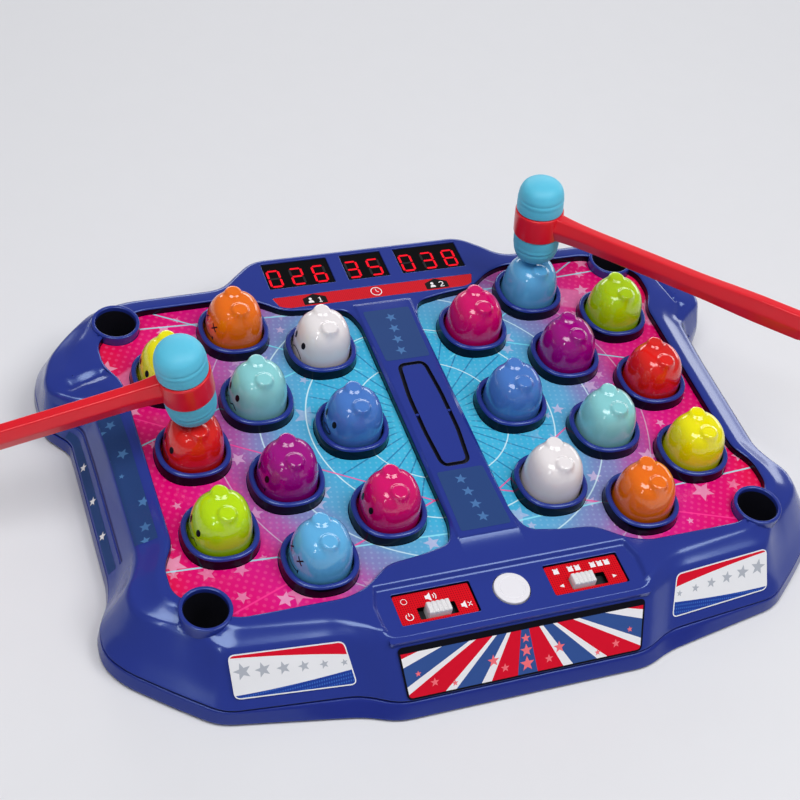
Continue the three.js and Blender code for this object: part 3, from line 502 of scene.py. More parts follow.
def star(size, centre=(0, 0), turn=0.0, depth=0.42):
    """A five-pointed star's outline: ten points, by turns at size and at depth times size from its centre."""
    angle = np.arange(10) * np.pi / 5 + np.pi / 2 + turn
    radius = np.where(np.arange(10) % 2 == 0, size, size * depth)
    return np.stack([np.cos(angle), np.sin(angle)], 1) * radius[:, None] + np.asarray(centre, float)


def fan(outline):
    """Triangles from an outline's middle to its sides, for a shape that its middle sees whole."""
    n = len(outline)
    i = np.arange(n)
    return np.concatenate([outline, outline.mean(0)[None]]), np.stack([i, (i + 1) % n, np.full(n, n)], 1)


def stroke(path, width, closed=False):
    """A band of one width along a path in plan, as quads between the path moved half the width to either side."""
    p = np.asarray(path, float)
    ahead = np.roll(p, -1, 0) - np.roll(p, 1, 0)
    if not closed:
        ahead[0], ahead[-1] = p[1] - p[0], p[-1] - p[-2]
    side = np.stack([-ahead[:, 1], ahead[:, 0]], 1)
    side *= width / 2 / np.linalg.norm(side, axis=1, keepdims=True)
    n = len(p)
    i = np.arange(n if closed else n - 1)
    j = (i + 1) % n
    return np.concatenate([p - side, p + side]), np.stack([i, j, j + n, i + n], 1)


def arc(radius, start, stop, centre=(0, 0), count=16):
    """Points along part of a circle, with angles in degrees."""
    angle = np.radians(np.linspace(start, stop, count))
    return np.stack([np.cos(angle), np.sin(angle)], 1) * radius + np.asarray(centre, float)


def moved(shape, centre, turn=0.0, scale=1.0):
    """A flat shape scaled, turned and moved in its plane."""
    points, faces = shape
    c, s = math.cos(turn), math.sin(turn)
    return points * scale @ np.array([[c, s], [-s, c]]) + np.asarray(centre, float), faces


def placed(shapes, mapping, mark=0):
    """Flat shapes carried onto a surface by a mapping from plane points to space."""
    return [(mapping(points), faces, mark) for points, faces in shapes]


# ---------------------------------------------------------------- shader wiring


class Graph:
    """Short calls that wire one node tree."""

    def __init__(self, tree):
        self.tree = tree

    def node(self, kind, **settings):
        made = self.tree.nodes.new(kind)
        for key, value in settings.items():
            setattr(made, key, value)
        return made

    def put(self, socket, value):
        if isinstance(value, bpy.types.NodeSocket):
            self.tree.links.new(value, socket)
        else:
            socket.default_value = value

    def math(self, operation, *values, clamp=False):
        made = self.node("ShaderNodeMath", operation=operation, use_clamp=clamp)
        for socket, value in zip(made.inputs, values):
            self.put(socket, value)
        return made.outputs[0]

    def times(self, first, second):
        return self.math("MULTIPLY", first, second)

    def plus(self, first, second):
        return self.math("ADD", first, second)

    def minus(self, first, second):
        return self.math("SUBTRACT", first, second)

    def vector(self, operation, *values):
        made = self.node("ShaderNodeVectorMath", operation=operation)
        for socket, value in zip(made.inputs, values):
            self.put(socket, value)
        return made.outputs["Value" if operation in ("LENGTH", "DOT_PRODUCT", "DISTANCE") else "Vector"]

    def mix(self, share, first, second, blend="MIX"):
        made = self.node("ShaderNodeMix", data_type="RGBA", blend_type=blend)
        for socket, value in zip((made.inputs[0], made.inputs[6], made.inputs[7]), (share, first, second)):
            self.put(socket, (*value, 1) if isinstance(value, tuple) and len(value) == 3 else value)
        return made.outputs[2]

    def scale(self, vector, factor):
        made = self.node("ShaderNodeVectorMath", operation="SCALE")
        self.put(made.inputs[0], vector)
        self.put(made.inputs["Scale"], factor)
        return made.outputs[0]

    def ramp(self, value, stops):
        made = self.node("ShaderNodeValToRGB")
        made.color_ramp.interpolation = "EASE"
        elements = made.color_ramp.elements
        while len(elements) < len(stops):
            elements.new(0.5)
        for element, (place, colour) in zip(elements, stops):
            element.position = place
            element.color = (*colour, 1)
        self.put(made.inputs[0], value)
        return made.outputs[0]

    def noise(self, vector, scale, detail=2.0, roughness=0.5):
        made = self.node("ShaderNodeTexNoise")
        for key, value in (("Vector", vector), ("Scale", scale), ("Detail", detail), ("Roughness", roughness)):
            self.put(made.inputs[key], value)
        return made.outputs["Fac"]

    def step(self, value, low, high):
        """0 below low, 1 above high, smooth between."""
        made = self.node("ShaderNodeMapRange", interpolation_type="SMOOTHSTEP")
        for socket, v in zip(made.inputs, (value, low, high, 0.0, 1.0)):
            self.put(socket, v)
        return made.outputs[0]

    def split(self, vector):
        made = self.node("ShaderNodeSeparateXYZ")
        self.put(made.inputs[0], vector)
        return made.outputs

    def join(self, x, y, z=0.0):
        made = self.node("ShaderNodeCombineXYZ")
        for socket, value in zip(made.inputs, (x, y, z)):
            self.put(socket, value)
        return made.outputs[0]

    def group(self, tree, **values):
        made = self.node("ShaderNodeGroup", node_tree=tree)
        for key, value in values.items():
            self.put(made.inputs[key.replace("_", " ")], value)
        return made.outputs


def node_group(name, inputs, outputs, fill):
    """A shader node group with named sockets, wired by fill(graph, group inputs, group output node)."""
    if name in bpy.data.node_groups:
        return bpy.data.node_groups[name]
    tree = bpy.data.node_groups.new(name, "ShaderNodeTree")
    for label, kind, default in inputs:
        socket = tree.interface.new_socket(name=label, in_out="INPUT", socket_type=kind)
        if default is not None:
            socket.default_value = default
    for label, kind in outputs:
        tree.interface.new_socket(name=label, in_out="OUTPUT", socket_type=kind)
    graph = Graph(tree)
    fill(graph, graph.node("NodeGroupInput").outputs, graph.node("NodeGroupOutput").inputs)
    return tree


FLOAT, VECTOR = "NodeSocketFloat", "NodeSocketVector"
MADE = {}


def moulded_skin():
    """Moulded plastic's small unevenness: a slow mottle of shade, fine scuffs in the gloss, and a faint orange peel."""
    def fill(g, into, out):
        place = into["Vector"]
        slow = g.noise(place, 38.0, 3.0)
        fine = g.noise(place, 900.0, 2.0)
        scuff = g.noise(g.vector("MULTIPLY", place, (260.0, 2100.0, 700.0)), 1.0, 3.0, 0.6)
        shade = g.times(g.minus(slow, 0.5), into["Mottle"])
        g.put(out["Shade"], g.plus(shade, 1.0))
        worn = g.times(g.step(scuff, 0.56, 0.78), into["Scuff"])
        g.put(out["Scuff"], worn)
        waves = g.noise(place, 420.0, 1.0)
        g.put(out["Height"], g.plus(g.times(waves, 0.7), g.times(fine, 0.3)))
    return node_group("moulded_skin", (("Vector", VECTOR, None), ("Mottle", FLOAT, 0.1), ("Scuff", FLOAT, 0.1)),
                      (("Shade", FLOAT), ("Scuff", FLOAT), ("Height", FLOAT)), fill)


def star_mask():
    """A five-pointed star: the plane is folded into one tenth of a turn, where the star's edge is the straight line
    0.384 (r cos t - 1) + 0.923 r sin t = 0 for a star of size 1."""
    def fill(g, into, out):
        x, y, unused = g.split(into["Vector"])
        angle = g.plus(g.math("ARCTAN2", y, x), into["Turn"])
        fold = g.math("ABSOLUTE", g.math("WRAP", angle, math.pi / 5, -math.pi / 5))
        radius = g.math("DIVIDE", g.vector("LENGTH", g.join(x, y)), into["Size"])
        along = g.times(radius, g.math("COSINE", fold))
        across = g.times(radius, g.math("SINE", fold))
        edge = g.plus(g.times(g.minus(along, 1.0), 0.384),
                      g.times(across, 0.923))
        g.put(out["Mask"], g.minus(1.0, g.step(edge, -0.03, 0.03)))
    return node_group("star_mask", (("Vector", VECTOR, None), ("Size", FLOAT, 1.0), ("Turn", FLOAT, 0.0)),
                      (("Mask", FLOAT),), fill)


def scattered_stars():
    """Stars of uneven size and turn, one in some of the cells of a square grid; each keeps within its own cell."""
    def fill(g, into, out):
        scaled = g.vector("DIVIDE", into["Vector"], g.join(into["Pitch"], into["Pitch"], 1.0))
        x, y, unused = g.split(scaled)
        cell = g.join(g.math("FLOOR", x), g.math("FLOOR", y), into["Seed"])
        white = g.node("ShaderNodeTexWhiteNoise", noise_dimensions="3D")
        g.put(white.inputs["Vector"], cell)
        chance, second = white.outputs["Value"], g.split(white.outputs["Color"])
        size = g.plus(g.times(second[2], 0.17), 0.13)
        room = g.minus(1.0, g.times(size, 2.0))
        place = [g.plus(g.times(second[i], room), size) for i in (0, 1)]
        local = [g.minus(g.math("FRACT", v), p) for v, p in zip((x, y), place)]
        turn = g.times(chance, 40.0)
        mask = g.group(star_mask(), Vector=g.join(*local), Size=size, Turn=turn)["Mask"]
        shown = g.math("LESS_THAN", g.math("FRACT", g.times(chance, 17.0)), into["Share"])
        bright = g.plus(g.times(g.math("FRACT", g.times(chance, 91.0)), 0.5), 0.5)
        g.put(out["Mask"], g.times(g.times(mask, shown), bright))
    return node_group("scattered_stars",
                      (("Vector", VECTOR, None), ("Pitch", FLOAT, 20.0), ("Share", FLOAT, 0.5), ("Seed", FLOAT, 0.0)),
                      (("Mask", FLOAT),), fill)


def dot_screen():
    """A print screen of round dots in rows set at an angle."""
    def fill(g, into, out):
        turned_rows = g.node("ShaderNodeVectorRotate", rotation_type="Z_AXIS")
        g.put(turned_rows.inputs["Vector"], into["Vector"])
        g.put(turned_rows.inputs["Angle"], into["Turn"])
        scaled = g.vector("DIVIDE", turned_rows.outputs[0], g.join(into["Pitch"], into["Pitch"], 1.0))
        x, y, unused = g.split(scaled)
        local = g.join(g.minus(g.math("FRACT", x), 0.5), g.minus(g.math("FRACT", y), 0.5))
        radius = g.vector("LENGTH", local)
        g.put(out["Mask"], g.minus(1.0, g.step(g.minus(radius, into["Radius"]), -0.06, 0.06)))
    return node_group("dot_screen",
                      (("Vector", VECTOR, None), ("Pitch", FLOAT, 3.0), ("Radius", FLOAT, 0.3), ("Turn", FLOAT, 0.0)),
                      (("Mask", FLOAT),), fill)


def new_material(name):
    """An empty Principled material: its graph, its shader node and the piece's own coordinates in metres."""
    material = bpy.data.materials.new(f"fine_{name}")
    MADE[name] = material
    material.use_nodes = True
    graph = Graph(material.node_tree)
    shader = material.node_tree.nodes["Principled BSDF"]
    place = graph.node("ShaderNodeTexCoord").outputs["Object"]
    return material, graph, shader, place


def finish_surface(graph, shader, place, colour, roughness, mottle=0.12, scuff=0.12, relief=0.02):
    """Wires colour, roughness and relief of one shader through the moulded skin."""
    skin = graph.group(moulded_skin(), Vector=place, Mottle=mottle, Scuff=scuff)
    graph.put(shader.inputs["Base Color"], graph.scale(colour, skin["Shade"]))
    graph.put(shader.inputs["Roughness"], graph.math("ADD", skin["Scuff"], roughness, clamp=True))
    bump = graph.node("ShaderNodeBump")
    bump.inputs["Strength"].default_value = relief
    bump.inputs["Distance"].default_value = 0.0005
    graph.put(bump.inputs["Height"], skin["Height"])
    graph.put(shader.inputs["Normal"], bump.outputs[0])


def plastic(name, colour, roughness, coat=0.0, mottle=0.12, scuff=0.1, relief=0.03, soft=0.0, metallic=0.0,
            specular=0.5, tint=(1, 1, 1)):
    """Moulded plastic, rubber, foam or metal of one colour."""
    if name in MADE:
        return MADE[name]
    material, graph, shader, place = new_material(name)
    finish_surface(graph, shader, place, colour, roughness, mottle, scuff, relief)
    shader.inputs["Coat Weight"].default_value = coat
    shader.inputs["Coat Roughness"].default_value = 0.06
    shader.inputs["Metallic"].default_value = metallic
    shader.inputs["Specular IOR Level"].default_value = specular
    shader.inputs["Specular Tint"].default_value = (*tint, 1)
    if soft:
        shader.inputs["Subsurface Weight"].default_value = soft
        shader.inputs["Subsurface Radius"].default_value = (0.006, 0.005, 0.004)
        shader.inputs["Subsurface Scale"].default_value = 1.0
    return material


def lamp_red(name, colour, strength):
    """Lit or unlit display segments, with the fine lattice of the segment mask."""
    material, graph, shader, place = new_material(name)
    dots = graph.group(dot_screen(), Vector=graph.scale(place, PER_METRE), Pitch=1.1, Radius=0.32)["Mask"]
    shade = graph.mix(dots, tuple(0.7 * c for c in colour), colour)
    finish_surface(graph, shader, place, shade, 0.3)
    graph.put(shader.inputs["Emission Color"], shade)
    shader.inputs["Emission Strength"].default_value = strength
    shader.inputs["Specular IOR Level"].default_value = 0.1
    return material


# ---------------------------------------------------------------- housing


OUTER = rounded(np.stack([both_sides(s) for s in (PARTING_SHARES, BELT_SHARES, EDGE_SHARES, RIM_SHARES)]), 10, 6, 9)
FOOT_OUTLINE = rounded(both_sides(FOOT_SHARES), 10, 6, 9)


def field_curve():
    """The right playing field's wall in plan, resampled to even steps so that the cups cut it cleanly."""
    corners = anticlockwise(np.array(FIELD_SHARES) * HALF)
    curve = rounded(corners, 7, 6, 3)
    ring = np.concatenate([curve, curve[:1]])
    along = np.concatenate([[0], np.cumsum(np.linalg.norm(np.diff(ring, axis=0), axis=1))])
    even = np.linspace(0, along[-1], int(along[-1] / 1.3))[:-1]
    return np.stack([np.interp(even, along, ring[:, k]) for k in (0, 1)], 1)


def cup_places():
    """Names and centres of the four cups, with +Y at the back."""
    x, y = CUP_PLACE
    return (("cup_back_left", -x, y), ("cup_back_right", x, y), ("cup_front_left", -x, -y), ("cup_front_right", x, -y))


def cup_rings(radius=CUP_CUT):
    """A circle round each cup's centre."""
    return [circle(radius, CUP_SIDES, (x, y)) for name, x, y in cup_places()]


def away_from_cups(points, radius):
    """True where a plan point is farther than the radius from every cup's centre."""
    return np.all([np.hypot(points[:, 0] - x, points[:, 1] - y) > radius for name, x, y in cup_places()], 0)


def lowered(points, lip=1.2):
    """Drops the top to the control deck inside its outline: z' = smooth minimum of z and a ceiling that falls from
    above the rim to the deck height over 4.6 mm across the outline."""
    edge = np.array(DECK_SHARES) * HALF
    ceiling = np.full(len(points), RIM + lip)
    near = (np.abs(points[:, 0]) < 102) & (points[:, 1] < -130) & (points[:, 2] > DECK - lip)
    d = depth_inside(edge, points[near, :2])
    s = np.clip((d + 1.6) / 4.6, 0, 1)
    ceiling[near] -= (RIM + lip - DECK) * s * s * (3 - 2 * s)
    h = np.clip(1 - np.abs(points[:, 2] - ceiling) / lip, 0, 1)
    made = points.copy()
    made[:, 2] = np.minimum(points[:, 2], ceiling) - h * h * lip / 4
    return made


def clear_of_cups(points):
    """Moves whatever lies nearer a cup's centre than CUP_HUG out to it, and the more the nearer round the cup's outer
    side, so that no wall crosses a bore."""
    made = points.copy()
    for name, x, y in cup_places():
        away = made[..., :2] - (x, y)
        reach = np.linalg.norm(away, axis=-1, keepdims=True)
        away = away + 9 * np.clip(1 - (reach / CUP_HUG) ** 2, 0, 1) * np.array([x, y]) / np.hypot(x, y)
        hugging = np.array([x, y]) + away / np.maximum(np.linalg.norm(away, axis=-1, keepdims=True), 1e-6) * CUP_HUG
        made[..., :2] = np.where(reach < CUP_HUG, hugging, made[..., :2])
    return made


def outside_field(points):
    """Distance of plan points outside the nearer playing field's corner-to-corner outline."""
    return -depth_inside(anticlockwise(np.array(FIELD_SHARES) * HALF), points * np.sign(points[:, :1]) ** [1, 0])


def crowned(points):
    """Rounds the top off: it falls by up to 3 mm with the distance from the field, along t^2 (3 - 2t), and each of
    the shoulders' hollows sinks it by depth exp(-(distance from the hollow's line / width)^2)."""
    made = points.copy()
    high = (made[:, 2] > 30) & (np.abs(made[:, 0]) > 104)
    p = made[high]
    t = np.clip((outside_field(p[:, :2]) - 4) / 22, 0, 1)
    drop = 3 * t * t * (3 - 2 * t) * np.clip((np.abs(p[:, 0]) - 104) / 24, 0, 1)
    drop *= np.clip((p[:, 2] - EDGE) / (RIM - EDGE), 0, 1)
    for side, hollows in HOLLOWS.items():
        for first, last, width, depth in hollows:
            a, b = np.array(first) * [side, 1.0], np.array(last) * [side, 1.0]
            s = np.clip((p[:, :2] - a) @ (b - a) / ((b - a) @ (b - a)), 0, 1)
            away = np.linalg.norm(p[:, :2] - a - s[:, None] * (b - a), axis=1)
            drop += depth * np.exp(-((away / width) ** 2)) * np.clip((p[:, 2] - 32) / 6, 0, 1)
    made[high, 2] -= drop
    return made


def pad_share(points):
    """How far plan points are up the edge of the divider's raised pad: 0 at its foot, 1 where it is level."""
    x, y = points[:, 0], points[:, 1]
    return np.minimum.reduce([(21.6 + 0.02 * np.abs(y) - np.abs(x)) / 2.4, (118 - y) / 2.6, (y + 113.5) / 1.6])


def on_pad(points):
    """Raises the divider's middle by 1.3 mm, along s^2 (3 - 2 s) up the pad's edge."""
    s = np.clip(pad_share(points), 0, 1)
    made = points.copy()
    made[:, 2] += 1.3 * s * s * (3 - 2 * s) * np.clip((points[:, 2] - PLATE_TOP) / (RIM - PLATE_TOP), 0, 1)
    return made


def outer_wall():
    """The top housing's outer wall, as rows from its inner lower lip up to the flat of the rim."""
    parting, belt, edge, rim = OUTER
    levels = [lift(offset(parting, -WALL), PARTING + GAP), lift(parting, PARTING + GAP), lift(belt, BELT)]
    levels += [lift(edge, EDGE), lift(rim, RIM), lift(offset(rim, -2.8), RIM)]
    rows = clear_of_cups(rounded_section(levels, (0.7, 6, 5, 3.4), 8, 5))
    return crowned(lowered(rows.reshape(-1, 3))).reshape(rows.shape), rows[-1][:, :2]


def rail_patch(side, low, high, height):
    """The part of one end rail's wall between two heights, moved off it along its normal: the cross product of its
    two directions."""
    wall, unused = outer_wall()
    column = np.argmin(np.abs(wall[-1] - [side * 217.0, 0, RIM]).sum(1))
    rows = np.flatnonzero((wall[:, column, 2] > low) & (wall[:, column, 2] < high))
    rows = rows[rows > np.argmin(wall[:, column, 2])]
    y = wall[rows[0], :, 1]
    columns = np.flatnonzero((wall[-1, :, 0] * side > 180) & (y > -68) & (y < 60))
    patch = wall[np.ix_(rows, columns)]
    normal = np.cross(np.gradient(patch, axis=1), np.gradient(patch, axis=0))
    normal /= np.linalg.norm(normal, axis=2, keepdims=True)
    return patch + normal * np.sign(normal[..., :1] * side) * height


def recess(outline, top, floor, ease=0.5):
    """The wall and floor of a hollow let into a level face, with its upper edge rounded. The outline is the mouth's."""
    wall = grid(swept(outline, eased([(0, top), (-ease, top), (-ease, floor)], ease, 4)))
    base = offset(outline, -ease)
    return [wall, flat(*cap([base], within(base)), floor)]


def groove_path():
    """The closed line of the divider's grooved panel: straight ends, bowed sides and two cut corners."""
    half = [(-9.3, 49.6), (8.4, 49.6), (10.8, 45.6), (12.4, 18), (12.4, -18)]
    points = np.array(half + [(-x, -y) for x, y in half])
    return anticlockwise(rounded(points, 5.5, 7, 6))


def top_parts():
    """Walls, deck, console, fields and collars of the top housing as one closed skin."""
    parting, belt, edge, rim = OUTER
    share = (PLATE_UNDER - BELT) / (EDGE - BELT)
    ceiling = belt + (edge - belt) * share
    inner = [lift(offset(parting, -WALL), PARTING + GAP), lift(offset(belt, -WALL), BELT)]
    inner.append(lift(offset(ceiling, -WALL), PLATE_UNDER))
    wall, rim_line = outer_wall()
    shell = [grid(wall), grid(clear_of_cups(np.array(inner)), flip=True)]

    right = field_curve()
    left = anticlockwise(right * [-1, 1])
    mouths = [offset(right, 2.4), offset(left, 2.4)]
    cups = cup_rings()
    windows = [box_outline(w, WINDOW_DEPTH, (x, WINDOW_Y), 1.2) for x, w in WINDOWS]
    strip = strip_outline(0.5)
    groove = groove_path()
    trench = [offset(groove, 1.6), offset(groove, -1.6)]
    plate_cut = np.array(PLATE_SIZE) + 2.6
    plates = [box_outline(*plate_cut, (s * PLATE_PLACE[0] + 0.6, PLATE_PLACE[1] + 0.6), 1.8) for s in (-1, 1)]
    button = circle(BUTTON_RADIUS + 1.1, CUP_SIDES, (0, BUTTON_Y))

    spots = lattice(-101, 101.5, -176, -131, 1.05)
    edge_line = np.array(DECK_SHARES) * HALF
    close = np.abs(depth_inside(edge_line, spots)) < 5
    close &= depth_inside(rim_line, spots) > 0.8
    for hole in plates + [button]:
        close &= depth_inside(hole, spots) < -0.5
    coarse = lattice(-267, 268, -190, 190, 3.1)
    fine = lattice(206, 252, 50, 112, 1.5)
    crown = np.concatenate([coarse[np.abs(coarse[:, 0]) > 105], fine, fine * [-1, 1]])
    crown = crown[(outside_field(crown) > 4.2) & away_from_cups(crown, CUP_CUT + 0.8)]
    crown = crown[depth_inside(rim_line[::3], crown) > 1.2]
    holes = mouths + windows + [strip] + plates + [button]
    pad = lattice(-25.6, 26, -116, 120.5, 0.8)
    pad = pad[np.abs(pad_share(pad) - 0.5) < 0.8]
    for hole in mouths + [strip]:
        pad = pad[depth_inside(hole, pad) < -0.4]

    top, ditch = within(rim_line, holes, CUP_CUT), within(trench[0], trench[1:])
    points, faces = cap([rim_line, *holes, *trench, *cups], lambda m: top(m) & ~ditch(m),
                        np.concatenate([spots[close], crown, pad]))
    shell.append((crowned(lowered(lift(points, RIM))), faces))

    for curve in (right, left):
        profile = eased([(2.4, RIM), (0, RIM), (0, PLATE_TOP)], 2.4, 7)
        points, faces = grid(swept(curve, profile))
        middle = points[faces].mean(1)
        # Below 48.9 mm the field's wall takes material 2, a near-black painted shade
        for mark, part in ((0, middle[:, 2] > 48.9), (2, middle[:, 2] <= 48.9)):
            shell.append((points, faces[part & away_from_cups(middle[:, :2], 16.2)], mark))
    for window in windows:
        shell.append(grid(swept(window, eased([(0, RIM), (-0.45, RIM), (-0.45, CONSOLE_ROOF)], 0.45, 4))))
    shell += recess(strip, RIM, 49.0, 0.4)
    bottom = RIM - 2.2
    # The trench's walls and floor take material 1, a near-black painted shade of the groove
    for line, way in ((trench[0], -1), (trench[1], 1)):
        shell.append((*grid(swept(line, eased([(0, RIM), (0.25 * way, RIM), (0.25 * way, bottom)], 0.25, 4))), 1))
    floor = [offset(trench[0], -0.25), offset(trench[1], 0.25)]
    shell.append((*flat(*cap(floor, within(floor[0], floor[1:])), bottom), 1))
    for x in (-12.4, 12.4):
        shell += outline_plate(box_outline(2.5, 1.6, (x, 0), 0.3), bottom - 0.2, RIM - 0.25)

    rings = [(x, y) for name, colour, x, y, side in mole_places()]
    feet = [squared(COLLAR_FOOT, COLLAR_SIDES, place) for place in rings]
    bores = [squared(COLLAR_BORE, COLLAR_SIDES, place) for place in rings]
    collar = [(COLLAR_FOOT, PLATE_TOP), (25.75, COLLAR_TOP), (COLLAR_BORE, COLLAR_TOP), (COLLAR_BORE, PLATE_UNDER)]
    profile = eased(collar, 2.0, 5)
    ring_rows = squared(profile[:, 0], COLLAR_SIDES)
    for place in rings:
        points, faces = grid(at_heights(ring_rows + np.array(place), profile[:, 1]))
        # The collar's walls below 51.6 mm, outside and in the bore, take material 2, a near-black painted shade; its
        # rounded top stays blue
        shade = points[faces].mean(1)[:, 2] < 51.6
        shell += [(points, faces[~shade], 0), (points, faces[shade], 2)]
    for curve, sign in ((right, 1), (left, -1)):
        own = [f for f, place in zip(feet, rings) if place[0] * sign > 0]
        shell.append(flat(*cap([curve, *own, *cups], within(curve, own, CUP_CUT)), PLATE_TOP))
    shell += under_parts(ceiling, bores, windows, plates, button)
    shell += [tube(line, PLATE_UNDER, RIM) for line in cups]
    shell += outline_plate(box_outline(189, 4.6, (0, -179.6), 2.2, 6), 43.3, DECK - 0.15)
    return carried(shell, on_pad)


def strip_outline(extra=0.0):
    """The score strip in plan: wider at the back than at the front."""
    y = 12.4 / 2 + extra
    back, front = 164.6 / 2 + extra, 155.6 / 2 + extra
    return rounded(np.array([[-front, -y], [front, -y], [back, y], [-back, y]]) + [0, STRIP_Y], 1.2, 4, 3)


def under_parts(ceiling, bores, windows, plates, button):
    """The housing's inner roof: the plate's underside, with hollows under the console, the deck and the divider."""
    line = clear_of_cups(offset(ceiling, -WALL))
    console = [(-0.28, 0.592), (0.28, 0.592), (0.313, 0.645), (0.313, 0.825), (-0.313, 0.825), (-0.313, 0.645)]
    deck = [(-0.32, -0.828), (0.32, -0.828), (0.313, -0.645), (0.28, -0.592), (-0.28, -0.592), (-0.313, -0.645)]
    divider = [(-0.067, -0.5), (0.067, -0.5), (0.067, 0.5), (-0.067, 0.5)]
    roofs = ((console, CONSOLE_ROOF), (deck, DECK_ROOF), (divider, CONSOLE_ROOF))
    hollows = [(np.array(p) * HALF, z) for p, z in roofs]
    outlines = [p for p, z in hollows]

    cups = cup_rings()
    keep = within(line, outlines + bores, CUP_CUT)
    made = [flat(*cap([line, *outlines, *bores, *cups], keep), PLATE_UNDER, True)]
    panes = [offset(w, -0.45) for w in windows]
    wells = [offset(p, -0.5) for p in plates] + [offset(button, -0.5)]
    for (outline, z), holes in zip(hollows, (panes, wells, [])):
        made.append(tube(outline, PLATE_UNDER, z))
        made.append(flat(*cap([outline, *holes], within(outline, holes)), z, True))
    for hole in plates + [button]:
        # Below 46.3 mm the recess walls round the plates and the button take material 1, a near-black painted shade
        points, faces = grid(swept(hole, eased([(0, DECK), (-0.5, DECK), (-0.5, DECK_ROOF)], 0.5, 4)))
        painted_shade = points[faces].mean(1)[:, 2] < 46.3
        made += [(points, faces[~painted_shade], 0), (points, faces[painted_shade], 1)]
    return made


def base_parts():
    """The tray below the parting line: a rolled foot, a flared lip at the joint, a floor with its openings."""
    parting, foot = OUTER[0], FOOT_OUTLINE
    levels = [lift(offset(foot, -3), 0), lift(foot, 0), lift(parting + (foot - parting) * 0.2, 9.4)]
    levels += [lift(parting, 10.5), lift(offset(parting, -1.4), 10.4), lift(offset(parting, -1.5), PARTING)]
    levels += [lift(offset(parting, -WALL), PARTING), lift(offset(foot, -2.8), BASE_FLOOR)]
    rows = rounded_section(levels, (1.6, 2, 0.8, 0.3, 0.3, 0.3), 6, 2)
    door = rounded(np.array(DOOR_HOLE), 1.0, 4, 2)
    sound_holes = [np.array([math.cos(a), math.sin(a)]) * 9 for a in np.arange(6) * math.pi / 3]
    holes = [door] + [circle(2, 24, SPEAKER_PLACE + away) for away in sound_holes] + [circle(2, 24, SPEAKER_PLACE)]
    screws = [circle(4.2, 40, np.array(p) * HALF) for p in
              ((0, 0.4), (0, -0.4), (0.83, 0.19), (0.83, -0.19), (-0.83, 0.19), (-0.83, -0.19), (0.485, 0.7),
               (0.485, -0.7), (-0.485, 0.7), (-0.485, -0.7))]
    # The parting groove takes material 1, a near-black painted shade
    groove = [lift(offset(parting, -1.1), z) for z in (10.45, PARTING + GAP)]
    made = [grid(rows), (*grid(np.array(groove)), 1)]
    for line, z, sunk in ((offset(foot, -3), 0, screws), (offset(foot, -2.8), BASE_FLOOR, [])):
        made.append(flat(*cap([line, *holes, *sunk], within(line, holes + sunk)), z, z == 0))
    made += [tube(hole, 0, BASE_FLOOR) for hole in holes]
    for hole in screws:
        made += [tube(hole, 0, 2.0), flat(*fan(hole), 2.0)]
    return made


# ---------------------------------------------------------------- playing fields, cups and controls


def sheet_parts(side):
    """One printed sheet: the field less a clearance, with holes for the collars and the cups."""
    curve = offset(field_curve(), -GAP)
    if side < 0:
        curve = anticlockwise(curve * [-1, 1])
    own = [(x, y) for name, colour, x, y, way in mole_places() if way == side]
    holes = [squared(COLLAR_FOOT + GAP, COLLAR_SIDES, place) for place in own]
    sheet = cap([curve, *holes, *cup_rings(CUP_SHEET)], within(curve, holes, CUP_SHEET))
    return slab(*sheet, FIELD - 0.6, FIELD)


def cup_parts(x, y):
    """A tapered tube with a rolled rim: skin outside and over the rim, then the inside, painted near black as shade,
    down to its floor.
    """
    outside = eased([(0, 2.8), (15.8, 2.8), (17.1, 40), (17.5, 46.5), (17.6, 51.5), (14.9, 51.5), (14.7, 48)], 1.1, 6)
    shaded_inside = eased([(14.7, 48), (14.4, 40), (13.2, 5.8), (0, 5.8)], 1.6, 5)
    return [(*turned(outside, 96, (x, y)), 0), (*turned(shaded_inside, 96, (x, y)), 1)]


def lens_parts():
    """The smoked lens: a plate under the console and a raised pane in each window."""
    plate = np.array([(-0.295, 0.7), (0.295, 0.7), (0.295, 0.815), (-0.295, 0.815)]) * HALF
    made = outline_plate(plate, 45.9, 46.9)
    for x, width in WINDOWS:
        outline = box_outline(width - 1.1, WINDOW_DEPTH - 1.1, (x, WINDOW_Y), 0.9)
        rows = swept(outline, eased([(0, 46.5), (0, PANE_TOP), (-0.5, PANE_TOP)], 0.3, 4))
        made.append(grid(rows))
        top = rows[-1][:, :2]
        made.append(flat(*cap([top], within(top)), PANE_TOP))
        made.append(flat(*cap([outline], within(outline)), 46.5, True))
    return made


SEGMENTS = {"0": "abcdef", "2": "abged", "3": "abgcd", "5": "afgcd", "6": "afgedc", "8": "abcdefg"}


def digit(lit):
    """A seven-segment figure, 10.8 by 19, as two lists of flat bars with mitred ends: lit, then unlit."""
    half, tall, thick = 4.5, 8.6, 0.88
    bar = np.array([(-half + 0.3, 0), (-half + 0.3 + thick, -thick), (half - 0.3 - thick, -thick), (half - 0.3, 0),
                    (half - 0.3 - thick, thick), (-half + 0.3 + thick, thick)])
    post = np.array([(0, 0.35), (thick, 0.35 + thick), (thick, tall - 0.35 - thick), (0, tall - 0.35),
                     (-thick, tall - 0.35 - thick), (-thick, 0.35 + thick)])
    places = {"a": bar + [0, tall], "g": bar, "d": bar - [0, tall], "b": post + [half, 0], "f": post - [half, 0],
              "c": post * [1, -1] + [half, 0], "e": post * [1, -1] - [half, 0]}
    return [[fan(p) for key, p in places.items() if (key in SEGMENTS[lit]) == on] for on in (True, False)]


def figure_parts():
    """The figures in the three windows, just over the panes."""
    made = []
    for (x, width), text in zip(WINDOWS, ("026", "35", "038")):
        for i, letter in enumerate(text):
            centre = (x - 1.2 + (i - (len(text) - 1) / 2) * 18.2, WINDOW_Y - 2.6)
            for mark, shapes in enumerate(digit(letter)):
                made += placed([moved(s, centre) for s in shapes], at(PANE_TOP + PRINT_GAP), mark)
    return made


